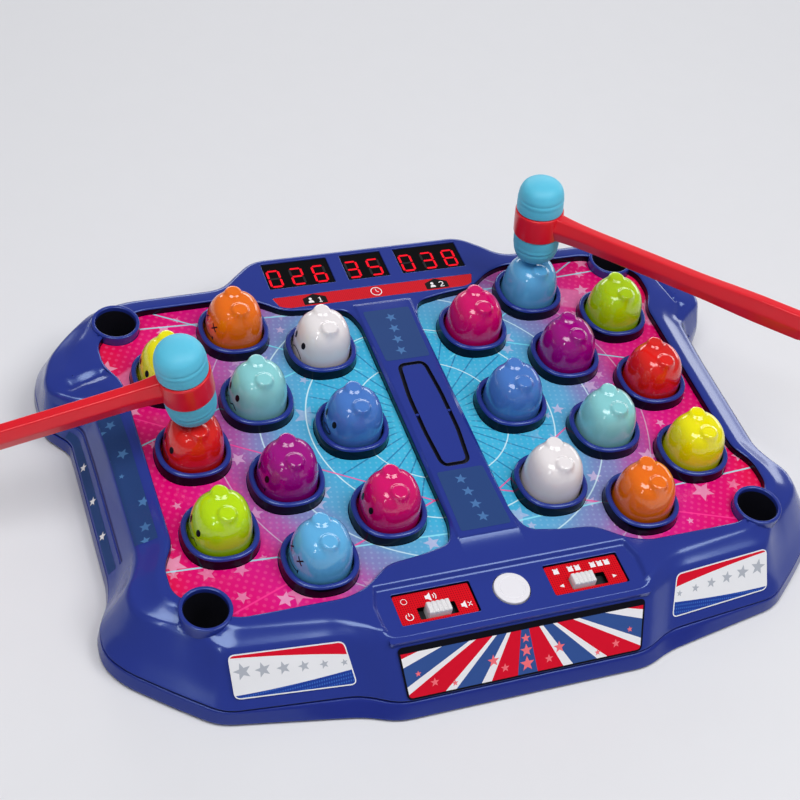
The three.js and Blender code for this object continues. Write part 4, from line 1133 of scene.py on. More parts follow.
def knob_parts(x):
    """A slide knob: its length is cut by four rounded grooves, z = top - 0.9 exp(-(d / 0.55)^2), d from each groove."""
    stations = np.concatenate([[-8.0], np.linspace(-7.85, 7.85, 150), [8.0]])
    dips = np.exp(-((stations[:, None] - np.array([-4.8, -1.6, 1.6, 4.8])) / 0.55) ** 2).sum(1)
    tops = 52 - 0.9 * dips - 0.5 * np.clip(np.abs(stations) - 7.4, 0, 1) ** 2 / 0.36
    half = np.where(np.abs(stations) > 7.9, 4.2, 4.5)
    section = rounded(np.array([[-1, 0], [1, 0], [1, 1], [-1, 1]], float), 0.16, 5, 3)
    z = 42 + (tops[:, None] - 42) * section[:, 1]
    y = SLOT_Y + half[:, None] * section[:, 0]
    rows = np.stack([np.broadcast_to(stations[:, None] + x, z.shape), y, z], -1)
    return [with_ends(rows)]


def button_parts():
    """The start button: a shallow crown with a ring line, a skirt that passes the deck, and a retaining flange."""
    top = 48.1
    profile = [(0, top), (8.2, top - 0.1), (8.5, top - 0.4), (8.9, top - 0.4), (9.2, top - 0.12),
               (BUTTON_RADIUS, top - 0.3), (BUTTON_RADIUS, 43.9), (14.5, 43.9), (14.5, 42.6), (4, 42.6), (4, 38.3),
               (0, 38.3)]
    return [turned(eased(profile, 0.9, 5), 96, (0, BUTTON_Y))]


def switch_plate_parts(side):
    """A printed plate with the slot that its knob slides in."""
    outline = box_outline(*PLATE_SIZE, (side * PLATE_PLACE[0], PLATE_PLACE[1]), 1.6)
    slot = box_outline(*SLOT_SIZE, (side * PLATE_PLACE[0], SLOT_Y), 1.0)
    made = outline_plate(outline, 45.7, SWITCH_PLATE_TOP, [slot])
    return [(points, faces, 0) for points, faces in made]


def mat_parts(side):
    """The rubber mat under one side's moles."""
    shares = [(0.142, -0.462), (0.358, -0.623), (0.56, -0.623), (0.757, -0.453), (0.757, 0.453), (0.56, 0.623),
              (0.358, 0.623), (0.142, 0.462)]
    outline = anticlockwise(np.array(shares) * HALF * [side, 1])
    return outline_plate(rounded(outline, 4, 4, 2), 31.3, 32.4)


# ---------------------------------------------------------------- moles


def mole_field(p):
    """Negative inside a mole's head. The dome is (rho / 20.9)^4 + (z / 36.2)^2.8 = 1 with rho the superellipse radius,
    and two rounded posts, the ears, join it by smooth minimums."""
    x, y, z = np.moveaxis(p, -1, 0)
    rho = (np.abs(x) ** ROUNDNESS + np.abs(y) ** ROUNDNESS) ** (1 / ROUNDNESS)
    level = (rho / MOLE_HALF) ** 4 + (np.maximum(z, 0) / MOLE_TALL) ** 2.8
    made = (level ** (1 / 3.3) - 1) * 24
    top, radius, soft, blend = EAR_TOP - FIELD, 5.4, 1.2, 3.0
    for place in (-EAR_PLACE, EAR_PLACE):
        q = np.stack([np.hypot(x, y - place) - radius + soft, z - top + soft])
        ear = np.linalg.norm(np.maximum(q, 0), axis=0) + np.minimum(q.max(0), 0) - soft
        h = np.maximum(blend - np.abs(made - ear), 0) / blend
        made = np.minimum(made, ear) - h * h * blend / 4
    return made


def first_crossing(start, ways, far, steps, halvings):
    """Distances just before and after the place where each ray leaves the mole, by marching and then bisection."""
    t = np.linspace(0, far, steps)
    values = mole_field(start[..., None, :] + ways[..., None, :] * t[:, None])
    k = np.maximum(np.argmax(values > 0, -1), 1)
    low, high = t[k - 1], t[k]
    for unused in range(halvings):
        mid = (low + high) / 2
        out = mole_field(start + ways * mid[..., None]) > 0
        low, high = np.where(out, low, mid), np.where(out, mid, high)
    return low, high


def mole_rows(sides=128, rows=60):
    """A mole that looks to +X, as rows of points from its crown to its plunger, about its foot on the field."""
    turn = np.arange(sides) * 2 * np.pi / sides
    rise = np.linspace(np.pi / 2, 0, rows)[:, None]
    ways = np.stack([np.cos(rise) * np.cos(turn), np.cos(rise) * np.sin(turn), np.sin(rise) + 0 * turn], -1)
    start = np.array([0, 0, 2.0])
    low, high = first_crossing(start, ways, 44, 90, 22)
    head = start + ways * ((low + high) / 2)[..., None]
    plunger = [(MOLE_HALF, 1), (MOLE_HALF, -3.3), (23.7, -3.3), (23.7, -4.8), (4, -4.8), (3, -6.3), (0, -6.3)]
    profile = eased(plunger, 0.4, 3)
    return np.concatenate([head, at_heights(squared(profile[1:, 0], sides), profile[1:, 1])])


def face_shapes(eyes, mouth):
    """Flat shapes of a face, across and up: two eyes and a mouth."""
    shapes = []
    for side in (-1, 1):
        centre = (side * 6.6, 20.6)
        if eyes == "dot":
            oval = circle(1, 24) * [2.0, 2.9] + centre
            shapes.append(fan(oval))
        else:
            for slant in (-1, 1):
                line = np.linspace((-2.4, -2.4 * slant), (2.4, 2.4 * slant), 7) + centre
                shapes.append(stroke(line, 1.1))
    lines = {
        "line": [(-7.4, 11), (7.4, 11)], "slant": [(-6.6, 9.6), (6.8, 12.6)],
        "zigzag": [(-8, 9.6), (-4, 12.6), (0, 9.6), (4, 12.6), (8, 9.6)],
    }
    if mouth == "round":
        shapes.append(stroke(circle(1, 36) * [5.4, 2.3] + (0, 11), 0.95, True))
    elif mouth == "frown":
        shapes.append(stroke(arc(8.4, 28, 152, (0, 4.2)), 0.95))
    else:
        corners = np.array(lines[mouth])
        steps = np.linspace(0, len(corners) - 1, 8 * (len(corners) - 1) + 1)
        path = np.stack([np.interp(steps, np.arange(len(corners)), corners[:, k]) for k in (0, 1)], 1)
        shapes.append(stroke(path, 0.95))
    if mouth == "line":
        for side in (-1, 1):
            shapes.append(stroke(np.linspace((side * 7.4, 9.4), (side * 7.4, 12.6), 4), 0.95))
    return shapes


def on_mole(points, x, y, side):
    """Carries flat face points onto the side that a mole looks to: -X or +X, turned a little to the front."""
    right, ahead = math.sin(FACE_TURN), math.cos(FACE_TURN)
    start = np.stack([points[:, 0] * right, points[:, 0] * ahead, points[:, 1]], 1)
    ways = np.broadcast_to(np.array([ahead, -right, 0.0]), start.shape)
    low, high = first_crossing(start, ways, 24, 60, 18)
    return (start + ways * (high + 0.07)[:, None]) * [side, 1, 1] + [x, y, FIELD]


# ---------------------------------------------------------------- labels


def slope_frame(share_a, share_b):
    """Maps plane points (x, distance up the slope from the parting line, height off it) to space, on the front slope
    between two stations given as (parting share, edge share) pairs of plan points."""
    pa, ea = (np.array(p) * HALF for p in share_a)
    pb, eb = (np.array(p) * HALF for p in share_b)
    tall = EDGE - PARTING

    def place(points, height):
        slope = np.hypot(tall, ea[1] - pa[1])
        level = points[:, 1] / slope
        low, high = pa + (ea - pa) * level[:, None], pb + (eb - pb) * level[:, None]
        t = (points[:, 0] - low[:, 0]) / (high[:, 0] - low[:, 0])
        y = low[:, 1] + t * (high[:, 1] - low[:, 1])
        surface = np.column_stack([points[:, 0], y, PARTING + tall * level])
        along = np.array([high[0, 0] - low[0, 0], high[0, 1] - low[0, 1], 0])
        up = np.array([0, ea[1] - pa[1], tall])
        normal = np.cross(along, up)
        normal = normal / np.linalg.norm(normal)
        normal = normal if normal[1] < 0 else -normal
        return surface + normal * height

    return place


def label_panel(outline, loops, mark_of, place, low=0.3, high=0.9):
    """A printed plate on a slope: its top is cut along the loops and each piece takes the ink that mark_of gives it."""
    points, faces = cap([outline, *loops], within(outline))
    marks = mark_of(points[faces].mean(1))
    (solid, ends), (same, walls) = slab(points, faces, low, high)
    body = place(solid[:, :2], solid[:, 2:])
    half = len(faces)
    made = [(body, ends[:half], 0), (body, walls, 0)]
    made += [(body, ends[half:][marks == k], int(k)) for k in np.unique(marks)]
    return made


def star_on(place, size, centre, mark, turn=0.0):
    """A flat star just over a label."""
    points, faces = fan(star(size, centre, turn))
    return place(points, np.full((len(points), 1), LABEL_STAR_HEIGHT)), faces, mark


def nameplate_parts():
    """The front plate: rays of red, white and blue from a point above its middle, inside a near-black border of painted
    shadow that is widest at the top under the deck's lip, with stars.
    """
    slope = float(np.hypot(EDGE - PARTING, (0.969 - 0.856) * HALF[1]))
    top, low = 0.955 * slope, 0.03 * slope
    wide, narrow = 0.336 * HALF[0], 0.318 * HALF[0]
    outline = rounded(np.array([(-narrow, low), (narrow, low), (wide, top), (-wide, top)]), 4, 6, 3)
    # The border is a near-black painted shadow of the plate's recess; its top is cut 4.4 mm down to paint the wider
    # shadow under the deck's lip
    border = offset(outline, -1.3)
    border[:, 1] = np.minimum(border[:, 1], top - 4.4)
    focus = np.array([0, top + 16])
    cuts = np.array([-82, -75, -71, -63, -60, -49, -45, -33, -27, -8, 8, 27, 33, 45, 49, 60, 63, 71, 75, 82.0])
    colours = np.array([1, 2, 3, 2, 1, 2, 3, 2, 1, 3, 1, 2, 3, 2, 1, 2, 3, 2, 1])
    rays = []
    for a, b in zip(cuts[:-1:2], cuts[1::2]):
        far = [focus + 260 * np.array([math.sin(math.radians(v)), -math.cos(math.radians(v))]) for v in (a, b)]
        rays.append(np.array([focus, far[0], far[1]]))

    def ink(m):
        ways = m - focus
        turn = np.degrees(np.arctan2(ways[:, 0], -ways[:, 1]))
        k = np.clip(np.searchsorted(cuts, turn) - 1, 0, len(colours) - 1)
        return np.where(inside(border, m), colours[k], 0)

    place = slope_frame(((-0.336, -0.969), (-0.343, -0.856)), ((0.336, -0.969), (0.343, -0.856)))
    made = label_panel(outline, [border, *rays], ink, place)
    stars = [(-66, 9, 3.2), (-52, 5.5, 2.4), (-77, 17, 2.2), (66, 9, 3.2), (52, 5.5, 2.4), (77, 17, 2.2),
             (-24, 15, 4.4), (-16, 8.5, 3.2), (24, 15, 4.4), (16, 8.5, 3.2), (0, 26, 3.4), (0, 17.5, 4.6),
             (0, 8.2, 5.4)]
    return made + [star_on(place, size, (x, low + v), 4) for x, v, size in stars]


def side_label_parts(side):
    """A front side label: white, with a red band over, a blue one below and a row of grey stars that grows outwards."""
    shares = np.array([(0.43, 0.2), (0.7285, 0.2), (0.7345, 0.93), (0.4526, 0.93)])
    pair = ((0.422, -0.913), (0.455, -0.785)), ((0.754, -0.875), (0.743, -0.755))
    slope = float(np.hypot(EDGE - PARTING, (0.913 - 0.785) * HALF[1]))
    outline = rounded(shares * [HALF[0], slope], 4.5, 7, 3)
    place = slope_frame(*pair)
    x = np.linspace(112, 200, 60)
    s = (x - 112) / 88
    top = slope * (0.93 - 0.05 - 0.2 * (1 - s) ** 2 - 0.02 * np.sin(s * 3))
    low = slope * (0.2 + 0.06 + 0.22 * (1 - s) ** 1.5)
    red = np.concatenate([np.stack([x, top], 1), [(200, 60), (112, 60)]])
    blue = np.concatenate([np.stack([x, low], 1)[::-1], [(112, -20), (200, -20)]])
    border = offset(outline, -0.8)

    def ink(m):
        marks = np.where(inside(red, m), 1, np.where(inside(blue, m), 2, 0))
        return np.where(inside(border, m), marks, 0)

    made = label_panel(outline, [border, red, blue], ink, place)
    for i in range(6):
        made.append(star_on(place, 2.5 + 0.72 * i, (122.5 + 13.2 * i, slope * (0.585 + 0.012 * i)), 3, -0.25))
    if side < 0:
        made = [(part[0] * [-1, 1, 1], part[1][:, ::-1], part[2]) for part in made]
    return made


# ---------------------------------------------------------------- hammers


def hammer_pose(hand):
    """A hammer's turning matrix and the place of its head's middle: the lower cap stands on a mole's back ear."""
    tilt, turn, lift_up, name = HAMMERS[hand]
    x, y = next((x, y) for n, colour, x, y, side in mole_places() if n == name)
    a, b = math.radians(tilt), math.radians(turn)
    tip = np.array([[math.cos(a), 0, math.sin(a)], [0, 1, 0], [-math.sin(a), 0, math.cos(a)]])
    spin = np.array([[math.cos(b), -math.sin(b), 0], [math.sin(b), math.cos(b), 0], [0, 0, 1]])
    lean, rise = HEAD_HALF * math.sin(a), EAR_TOP + HEAD_HALF * math.cos(a) + lift_up
    place = np.array([x + lean * math.cos(b), y + STRIKE_OFFSET + lean * math.sin(b), rise])
    return spin @ tip, place


def posed(parts, hand):
    """Parts made about the head's middle, carried to where the hammer rests."""
    matrix, place = hammer_pose(hand)
    return carried(parts, lambda points: points @ matrix.T + place)


def handle_parts():
    """The handle about its head's middle: a barrel band round +Z and a ridged bar along +X. The bar's six-sided section
    keeps a ridge at mid height; its height falls in a hollow curve from the band, then swells to the grip."""
    barrel = eased([(0, -10.5), (18.0, -10.5), (18.5, -9.2), (18.6, 0), (18.5, 9.2), (18.0, 10.5), (0, 10.5)], 1.4, 5)
    band = turned(barrel, 120)
    tip = HANDLE_REACH - 13 * np.cos(np.linspace(0.1, np.pi / 2, 14))
    x = np.concatenate([np.linspace(4, 70, 34), np.linspace(73, 212, 48), tip])
    t = np.clip((x - 12) / 46, 0, 1)
    height = HANDLE_TALL + (20.6 - HANDLE_TALL) * (1 - t) ** 2.4
    swell = np.clip((x - 128) / 60, 0, 1)
    height += (GRIP_TALL - HANDLE_TALL) * swell * swell * (3 - 2 * swell)
    thick = 12 + 5.5 * np.clip(1 - (x - 12) / 34, 0, 1) ** 2.2
    end = np.sqrt(np.clip(1 - (np.clip(x - 214, 0, 11) / 11) ** 2, 0.0, 1))
    height *= 0.12 + 0.88 * end
    thick *= 0.25 + 0.75 * end ** 0.6
    section = rounded(np.array([(0, -0.5), (0.5, -0.3), (0.5, 0.3), (0, 0.5), (-0.5, 0.3), (-0.5, -0.3)]), 0.075, 6, 3)
    rows = np.stack([np.broadcast_to(x[:, None], (len(x), len(section))), thick[:, None] * section[:, 1],
                     height[:, None] * section[:, 0]], -1)
    return [band, with_ends(rows)]


def hammer_cap_parts(way):
    """A soft cap: a foam dome with a shallow crease round it, where the skin folds over the seam."""
    base, reach = 10.8, 25.2
    shares = [(0, 0), (0.97, 0), (1.0, 0.03), (1.0, 0.3), (0.995, 0.43), (0.955, 0.62), (0.86, 0.79), (0.69, 0.9),
              (0.45, 0.965), (0.2, 0.995), (0, 1)]
    profile = eased([(r * 17.6, base + z * reach) for r, z in shares], 4.0, 6)
    crease = 0.42 * np.exp(-((profile[:, 1] - base - 0.47 * reach) / 0.8) ** 2)
    crease += 0.16 * np.exp(-((profile[:, 1] - base - 0.3 * reach) / 1.1) ** 2)
    profile[:, 0] = np.maximum(profile[:, 0] - crease * (profile[:, 0] > 4), 0)
    points, faces = turned(profile, 120)
    wave = 0.12 * np.sin(3 * np.arctan2(points[:, 1], points[:, 0]) + points[:, 2] * 0.2)
    radius = np.maximum(np.hypot(points[:, 0], points[:, 1]), 1e-6)
    points[:, :2] *= (1 + wave * np.clip(radius / 17.6, 0, 1) / radius)[:, None]
    return [(points * [1, 1, way], faces)]


# ---------------------------------------------------------------- materials of the pieces


def scene_coat():
    """The clear coat that the housing's settings ask for."""
    return bpy.context.scene.molegame_pieces.gloss


def housing_blue():
    """Glossy cobalt plastic of the housing."""
    return plastic("housing_blue", linear(37, 52, 140), 0.2, coat=scene_coat(), mottle=0.05, scuff=0.04, relief=0.01,
                   specular=0.75, tint=BLUE_TINT)


def field_print():
    """The playing field's printed sheet: rings and spokes round the middle, blue fading through lilac to hot pink at
    the ends, with pale stars, a dot screen and thin crossing lines."""
    name = "playfield_print"
    if name in MADE:
        return MADE[name]
    material, g, shader, place = new_material(name)
    x, y, unused = g.split(g.scale(place, PER_METRE))
    flat_place = g.join(x, y)
    radius = g.vector("LENGTH", flat_place)
    across = g.math("ABSOLUTE", x)
    reach = g.vector("LENGTH", g.join(x, g.times(y, 0.85)))
    wander = g.times(g.minus(g.noise(place, 14.0, 2.0), 0.5), 26.0)
    share = g.math("DIVIDE", g.plus(reach, wander), 260.0)
    colour = g.ramp(share, (
        (0.0, linear(70, 190, 225)), (0.3, linear(62, 178, 220)), (0.4, linear(92, 170, 215)),
        (0.5, linear(128, 132, 190)), (0.58, linear(176, 84, 166)), (0.67, linear(222, 20, 132)),
        (0.8, linear(224, 0, 112)), (0.92, linear(232, 10, 74)),
    ))
    turn = g.math("ARCTAN2", y, x)
    spoke = g.math("ABSOLUTE", g.minus(g.math("FRACT", g.times(turn, 36 / math.tau)), 0.5))
    width = g.math("DIVIDE", 36 * 0.35 / math.tau, radius)
    line = g.minus(1.0, g.step(spoke, width, g.times(width, 1.9)))
    span = g.times(g.step(radius, 26.0, 34.0), g.minus(1.0, g.step(radius, 88.0, 92.0)))

    def over(strength, shade, mask, *gates):
        for gate in gates:
            mask = g.times(mask, gate)
        return g.mix(g.times(mask, strength), colour, linear(*shade))

    colour = over(0.7, (26, 92, 152), line, span)
    dots = g.group(dot_screen(), Vector=flat_place, Pitch=5.2, Radius=0.24, Turn=0.5)["Mask"]
    pink_share = g.step(share, 0.5, 0.68)
    colour = over(0.22, (255, 110, 170), dots, pink_share)
    fine_dots = g.group(dot_screen(), Vector=flat_place, Pitch=4.4, Radius=0.2, Turn=0.2)["Mask"]
    cool = g.minus(1.0, pink_share)
    colour = over(0.16, (190, 230, 245), fine_dots, cool)
    small = g.group(scattered_stars(), Vector=flat_place, Pitch=23.0, Share=0.68, Seed=3.0)["Mask"]
    large = g.group(scattered_stars(), Vector=flat_place, Pitch=39.0, Share=0.6, Seed=8.0)["Mask"]
    stars = g.math("MAXIMUM", small, large)
    outer = g.step(share, 0.26, 0.38)
    colour = over(0.5, (240, 206, 236), stars, outer)
    for ring, wide, strength in ((57, 0.25, 0.85), (92, 0.3, 0.9), (127, 0.3, 0.75), (163, 0.25, 0.35)):
        gap = g.math("ABSOLUTE", g.minus(radius, float(ring)))
        mask = g.minus(1.0, g.step(gap, wide, wide + 0.4))
        colour = over(strength, (214, 244, 252), mask)
    for slope, start, wide, ink in ((0.62, 34.0, 0.5, (120, 232, 250)), (0.62, -88.0, 0.45, (255, 60, 150)),
                                    (-0.38, 96.0, 0.45, (120, 232, 250)), (-0.38, -64.0, 0.5, (255, 60, 150)),
                                    (0.05, 118.0, 0.45, (150, 236, 250)), (0.05, -104.0, 0.45, (150, 236, 250))):
        lean = g.minus(g.minus(y, g.times(across, slope)), start)
        mask = g.minus(1.0, g.step(g.math("ABSOLUTE", lean), wide, wide + 0.45))
        away = g.step(radius, 60.0, 72.0)
        colour = over(0.75, ink, mask, away)
    from_middle = g.join(g.minus(across, 60.0), g.plus(y, 150.0))
    sweep = g.minus(g.vector("LENGTH", from_middle), 268.0)
    band = g.minus(1.0, g.step(g.math("ABSOLUTE", sweep), 9.0, 12.0))
    colour = over(0.35, (236, 170, 214), band, pink_share)
    finish_surface(g, shader, place, colour, 0.28, 0.05, 0.05, 0.01)
    shader.inputs["Specular IOR Level"].default_value = 0.25
    shader.inputs["Coat Weight"].default_value = 0.12
    return material


def star_print(name, ground, ink, pitch, share, roughness):
    """A sticker with scattered stars, placed in plan."""
    if name in MADE:
        return MADE[name]
    material, g, shader, place = new_material(name)
    x, y, unused = g.split(g.scale(place, PER_METRE))
    flat_place = g.join(x, y)
    one = g.group(scattered_stars(), Vector=flat_place, Pitch=pitch, Share=share, Seed=1.0)["Mask"]
    two = g.group(scattered_stars(), Vector=flat_place, Pitch=pitch * 0.62, Share=share * 0.7, Seed=6.0)["Mask"]
    colour = g.mix(g.math("MAXIMUM", one, two), ground, ink)
    finish_surface(g, shader, place, colour, roughness, 0.05, 0.06, 0.01)
    shader.inputs["Specular IOR Level"].default_value = 0.15
    return material


def dotted_print(name, ground, ink, pitch, radius, roughness=0.3):
    """A printed plate with a close grid of darker dots."""
    if name in MADE:
        return MADE[name]
    material, g, shader, place = new_material(name)
    dots = g.group(dot_screen(), Vector=g.scale(place, PER_METRE), Pitch=pitch, Radius=radius)["Mask"]
    colour = g.mix(dots, ground, ink)
    finish_surface(g, shader, place, colour, roughness, 0.04, 0.06, 0.01)
    shader.inputs["Specular IOR Level"].default_value = 0.12
    return material


def mole_plastic(colour):
    """Glossy, slightly translucent coloured plastic of a mole, darkened towards its foot as painted shade and so a
    little lighter towards its crown.
    """
    name = f"mole_{colour}"
    if name in MADE:
        return MADE[name]
    material, g, shader, place = new_material(name)
    unused, unused, z = g.split(place)
    # The lower part is darkened to 0.82 of the colour as painted shade, rising to the full colour near the crown
    painted_shade = tuple(0.82 * c for c in MOLE_COLOURS[colour])
    shade = g.mix(g.step(z, 0.046, 0.078), painted_shade, MOLE_COLOURS[colour])
    finish_surface(g, shader, place, shade, 0.13, 0.05, 0.04, 0.02)
    shader.inputs["Coat Weight"].default_value = 0.5
    shader.inputs["Coat Roughness"].default_value = 0.04
    shader.inputs["Subsurface Weight"].default_value = 0.12
    shader.inputs["Subsurface Radius"].default_value = (0.004, 0.004, 0.004)
    shader.inputs["Subsurface Scale"].default_value = 1.0
    return material


def ink(name, red, green, blue, roughness=0.35):
    """One printing ink over a smooth label."""
    return plastic(name, linear(red, green, blue), roughness, mottle=0.08, scuff=0.06, relief=0.008, specular=0.12)


# ---------------------------------------------------------------- operators


class PieceSettings(bpy.types.PropertyGroup):
    """Settings shared by the operators."""

    gloss: bpy.props.FloatProperty(name="Gloss", description="Weight of the clear coat on the housing", default=0.2,
                                   min=0, max=1, subtype="FACTOR")
    lamp: bpy.props.FloatProperty(name="Display glow", description="Strength of the lit segments", default=0.75, min=0)


class LightSettings(bpy.types.PropertyGroup):
    """Settings of the stage."""

    sky: bpy.props.FloatProperty(name="Surrounding light", description="Strength of the plain surroundings",
                                 default=0.2, min=0)
    key: bpy.props.FloatProperty(name="Overhead light", description="Power of the square light above the left front",
                                 default=16.0, min=0, unit="POWER")
    rim: bpy.props.FloatProperty(name="Back light", description="Power of the long low light behind the display",
                                 default=16.0, min=0, unit="POWER")
    lens: bpy.props.FloatProperty(name="Focal length", description="Camera focal length", default=73.48, min=1,
                                  unit="CAMERA")


class BuildStep(bpy.types.Operator):
    """Base of the build operators."""

    bl_options = {"REGISTER", "UNDO"}

    def execute(self, context):
        self.build(context.scene)
        return {"FINISHED"}


class MOLEGAME_OT_housing(BuildStep):
    """Builds the top housing, the tray under it and its rubber feet"""

    bl_idname = "molegame.housing"
    bl_label = "Housing"

    def build(self, scene):
        # Near-black painted shade for the insides of grooves and recesses: the divider's trench, the deep walls round
        # the plates and button, and the parting groove
        slot = plastic("groove_painted_shade", linear(8, 8, 26), 0.4)
        # Near-black navy painted shade for the lower walls of the collars and the field openings, which are the same
        # blue plastic as the rest
        wall = plastic("wall_painted_shade", linear(3, 4, 18), 0.14, mottle=0.05, scuff=0.04, relief=0.01, specular=0.28,
                       tint=BLUE_TINT)
        piece("top_housing_fine", top_parts(), [housing_blue(), slot, wall], "housing", ["top_housing"])
        tray = plastic("base_blue", linear(32, 44, 132), 0.2, mottle=0.06, scuff=0.06, relief=0.015, specular=0.6,
                       tint=BLUE_TINT)
        piece("bottom_housing_fine", base_parts(), [tray, slot], "housing", ["bottom_housing"])
        rubber = plastic("foot_rubber", linear(38, 38, 40), 0.75, mottle=0.2, relief=0.2)
        for end, x in (("left", -0.8), ("right", 0.8)):
            for depth, y in (("back", 0.6), ("front", -0.62)):
                centre = np.array([x, y]) * HALF
                profile = eased([(0, 1.2), (7, 1.2), (7, -1.5), (4.6, -1.5), (4.3, -1.1), (0, -1.1)], 0.5, 4)
                piece(f"foot_{depth}_{end}_fine", [turned(profile, 48, centre)], rubber, "housing",
                      [f"foot_{depth}_{end}"])


class MOLEGAME_OT_fields(BuildStep):
    """Builds the printed playing fields, the corner cups and the key mats"""

    bl_idname = "molegame.fields"
    bl_label = "Playing fields"

    def build(self, scene):
        for end, side in SIDES:
            piece(f"playfield_{end}_fine", sheet_parts(side), field_print(), "housing",
                  [f"playfield_{end}"])
        # The cups' insides are painted near black as shade
        dark = plastic("cup_inside_painted_shade", linear(14, 14, 26), 0.5, mottle=0.2)
        for name, x, y in cup_places():
            piece(f"{name}_fine", cup_parts(x, y), [housing_blue(), dark], "housing", [name])
        rubber = plastic("mat_grey", linear(138, 143, 148), 0.7, mottle=0.15, relief=0.1)
        for end, side in SIDES:
            piece(f"key_mat_{end}_fine", mat_parts(side), rubber, "housing", [f"key_mat_{end}"])
        for name, colour, x, y, side in mole_places():
            profile = eased([(0, DOME_FOOT), (5.5, DOME_FOOT), (3.6, 37.4), (0, 37.4)], 1.0, 4)
            dome = piece(f"key_dome_{name}", [turned(profile, 32, (x, y))], rubber, "housing")
            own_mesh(dome)


class MOLEGAME_OT_moles(BuildStep):
    """Builds the twenty moles with their printed faces"""

    bl_idname = "molegame.moles"
    bl_label = "Moles"

    def build(self, scene):
        rows = mole_rows()
        black = ink("face_black", 16, 14, 18, 0.3)
        for name, colour, x, y, side in mole_places():
            body = (*grid(rows * [side, 1, 1] + [x, y, FIELD], flip=side < 0), 0)
            parts = [body]
            for points, faces in face_shapes(*MOLE_FACES[colour]):
                parts.append((on_mole(points, x, y, side), faces[:, ::-1] if side > 0 else faces, 1))
            piece(f"{name}_fine", parts, [mole_plastic(colour), black], name, [name])


def icon_person():
    """A person icon: a head and shoulders, 6 tall."""
    shoulders = np.concatenate([arc(2.5, 0, 180, (0, -2.3)), [(-2.5, -3.0), (2.5, -3.0)]])
    return [fan(circle(1.5, 20, (0, 2.0))), fan(shoulders)]


def numeral(which):
    """A 1 or a 2 drawn with one stroke, 6 tall."""
    if which == 1:
        return [stroke([(-1.2, 1.8), (0.2, 3.0), (0.2, -3.0)], 0.9), stroke([(-1.3, -3), (1.6, -3)], 0.9)]
    bow = arc(1.8, 160, -40, (0, 1.2))
    return [stroke(np.concatenate([bow, [(-1.9, -3.0)]]), 0.9), stroke([(-1.9, -3.0), (2.1, -3.0)], 0.9)]


def strip_parts():
    """The score strip: red ground with player tags, their icons and the timer ring."""
    low, high = 49.3, 49.8
    outline = strip_outline(-0.1)
    made = [(points, faces, 0) for points, faces in outline_plate(outline, low, high)]
    for x, number in ((-50, 1), (50, 2)):
        tag = np.array([(-9.4, -5), (9.4, -5), (9.4, 1.8), (0, 5.9), (-9.4, 1.8)]) + (x, STRIP_Y)
        tag = rounded(tag, 0.9, 5, 2)
        made += placed([fan(tag)], at(high + 0.03), 1)
        made += placed([moved(s, (x - 3.4, STRIP_Y - 0.8), 0, 0.85) for s in icon_person()], at(high + 0.06), 2)
        made += placed([moved(s, (x + 4.0, STRIP_Y - 0.8), 0, 0.85) for s in numeral(number)], at(high + 0.06), 2)
    ring = [stroke(circle(4.2, 48, (0, STRIP_Y)), 0.7, True), stroke([(0, STRIP_Y), (0, STRIP_Y + 2.9)], 0.6),
            stroke([(0, STRIP_Y), (1.9, STRIP_Y - 0.9)], 0.6)]
    made += placed(ring, at(high + 0.04), 2)
    return made


class MOLEGAME_OT_display(BuildStep):
    """Builds the display windows, their figures and the score strip"""

    bl_idname = "molegame.display"
    bl_label = "Display"

    def build(self, scene):
        glass = plastic("display_black", linear(5, 4, 6), 0.12, coat=0.1, scuff=0.03, relief=0.004, specular=0.2)
        piece("display_lens_fine", lens_parts(), glass, "housing", ["display_lens"])
        glow = scene.molegame_pieces.lamp
        lit = lamp_red("segment_lit", linear(236, 10, 34), glow)
        unlit = lamp_red("segment_unlit", linear(46, 44, 48), 0.03)
        piece("display_figures", figure_parts(), [lit, unlit], "housing", turn_out=False)
        red = dotted_print("strip_red", linear(206, 14, 34), linear(160, 6, 24), 1.5, 0.2, 0.5)
        black, white = ink("tag_black", 12, 9, 12, 0.55), ink("print_white", 240, 236, 238)
        piece("score_strip_fine", strip_parts(), [red, black, white], "housing", ["score_strip"])


def speaker_icon(waves):
    """A speaker icon, 5 tall, with sound waves or a cross beside it."""
    body = np.array([(-2.4, -0.9), (-1.4, -0.9), (0.2, -2.3), (0.2, 2.3), (-1.4, 0.9), (-2.4, 0.9)])
    if waves:
        return [fan(body)] + [stroke(arc(r, -40, 40, (0.2, 0)), 0.45) for r in (1.4, 2.5)]
    return [fan(body), stroke([(1.2, -1.2), (3.2, 1.2)], 0.45), stroke([(1.2, 1.2), (3.2, -1.2)], 0.45)]


def power_icon():
    """A power icon: an open ring and a bar."""
    return [stroke(arc(2.1, 125, 415), 0.5), stroke([(0, 0.4), (0, 2.6)], 0.5)]


def mole_icon(size):
    """A small mole head: a dome with two ears."""
    dome = np.concatenate([arc(1.0, 0, 180), [(-1.0, -0.9), (1.0, -0.9)]]) * [1, 1.1]
    return [moved(s, (0, 0), 0, size) for s in
            (fan(dome), fan(circle(0.34, 14, (-0.75, 1.0))), fan(circle(0.34, 14, (0.75, 1.0))))]


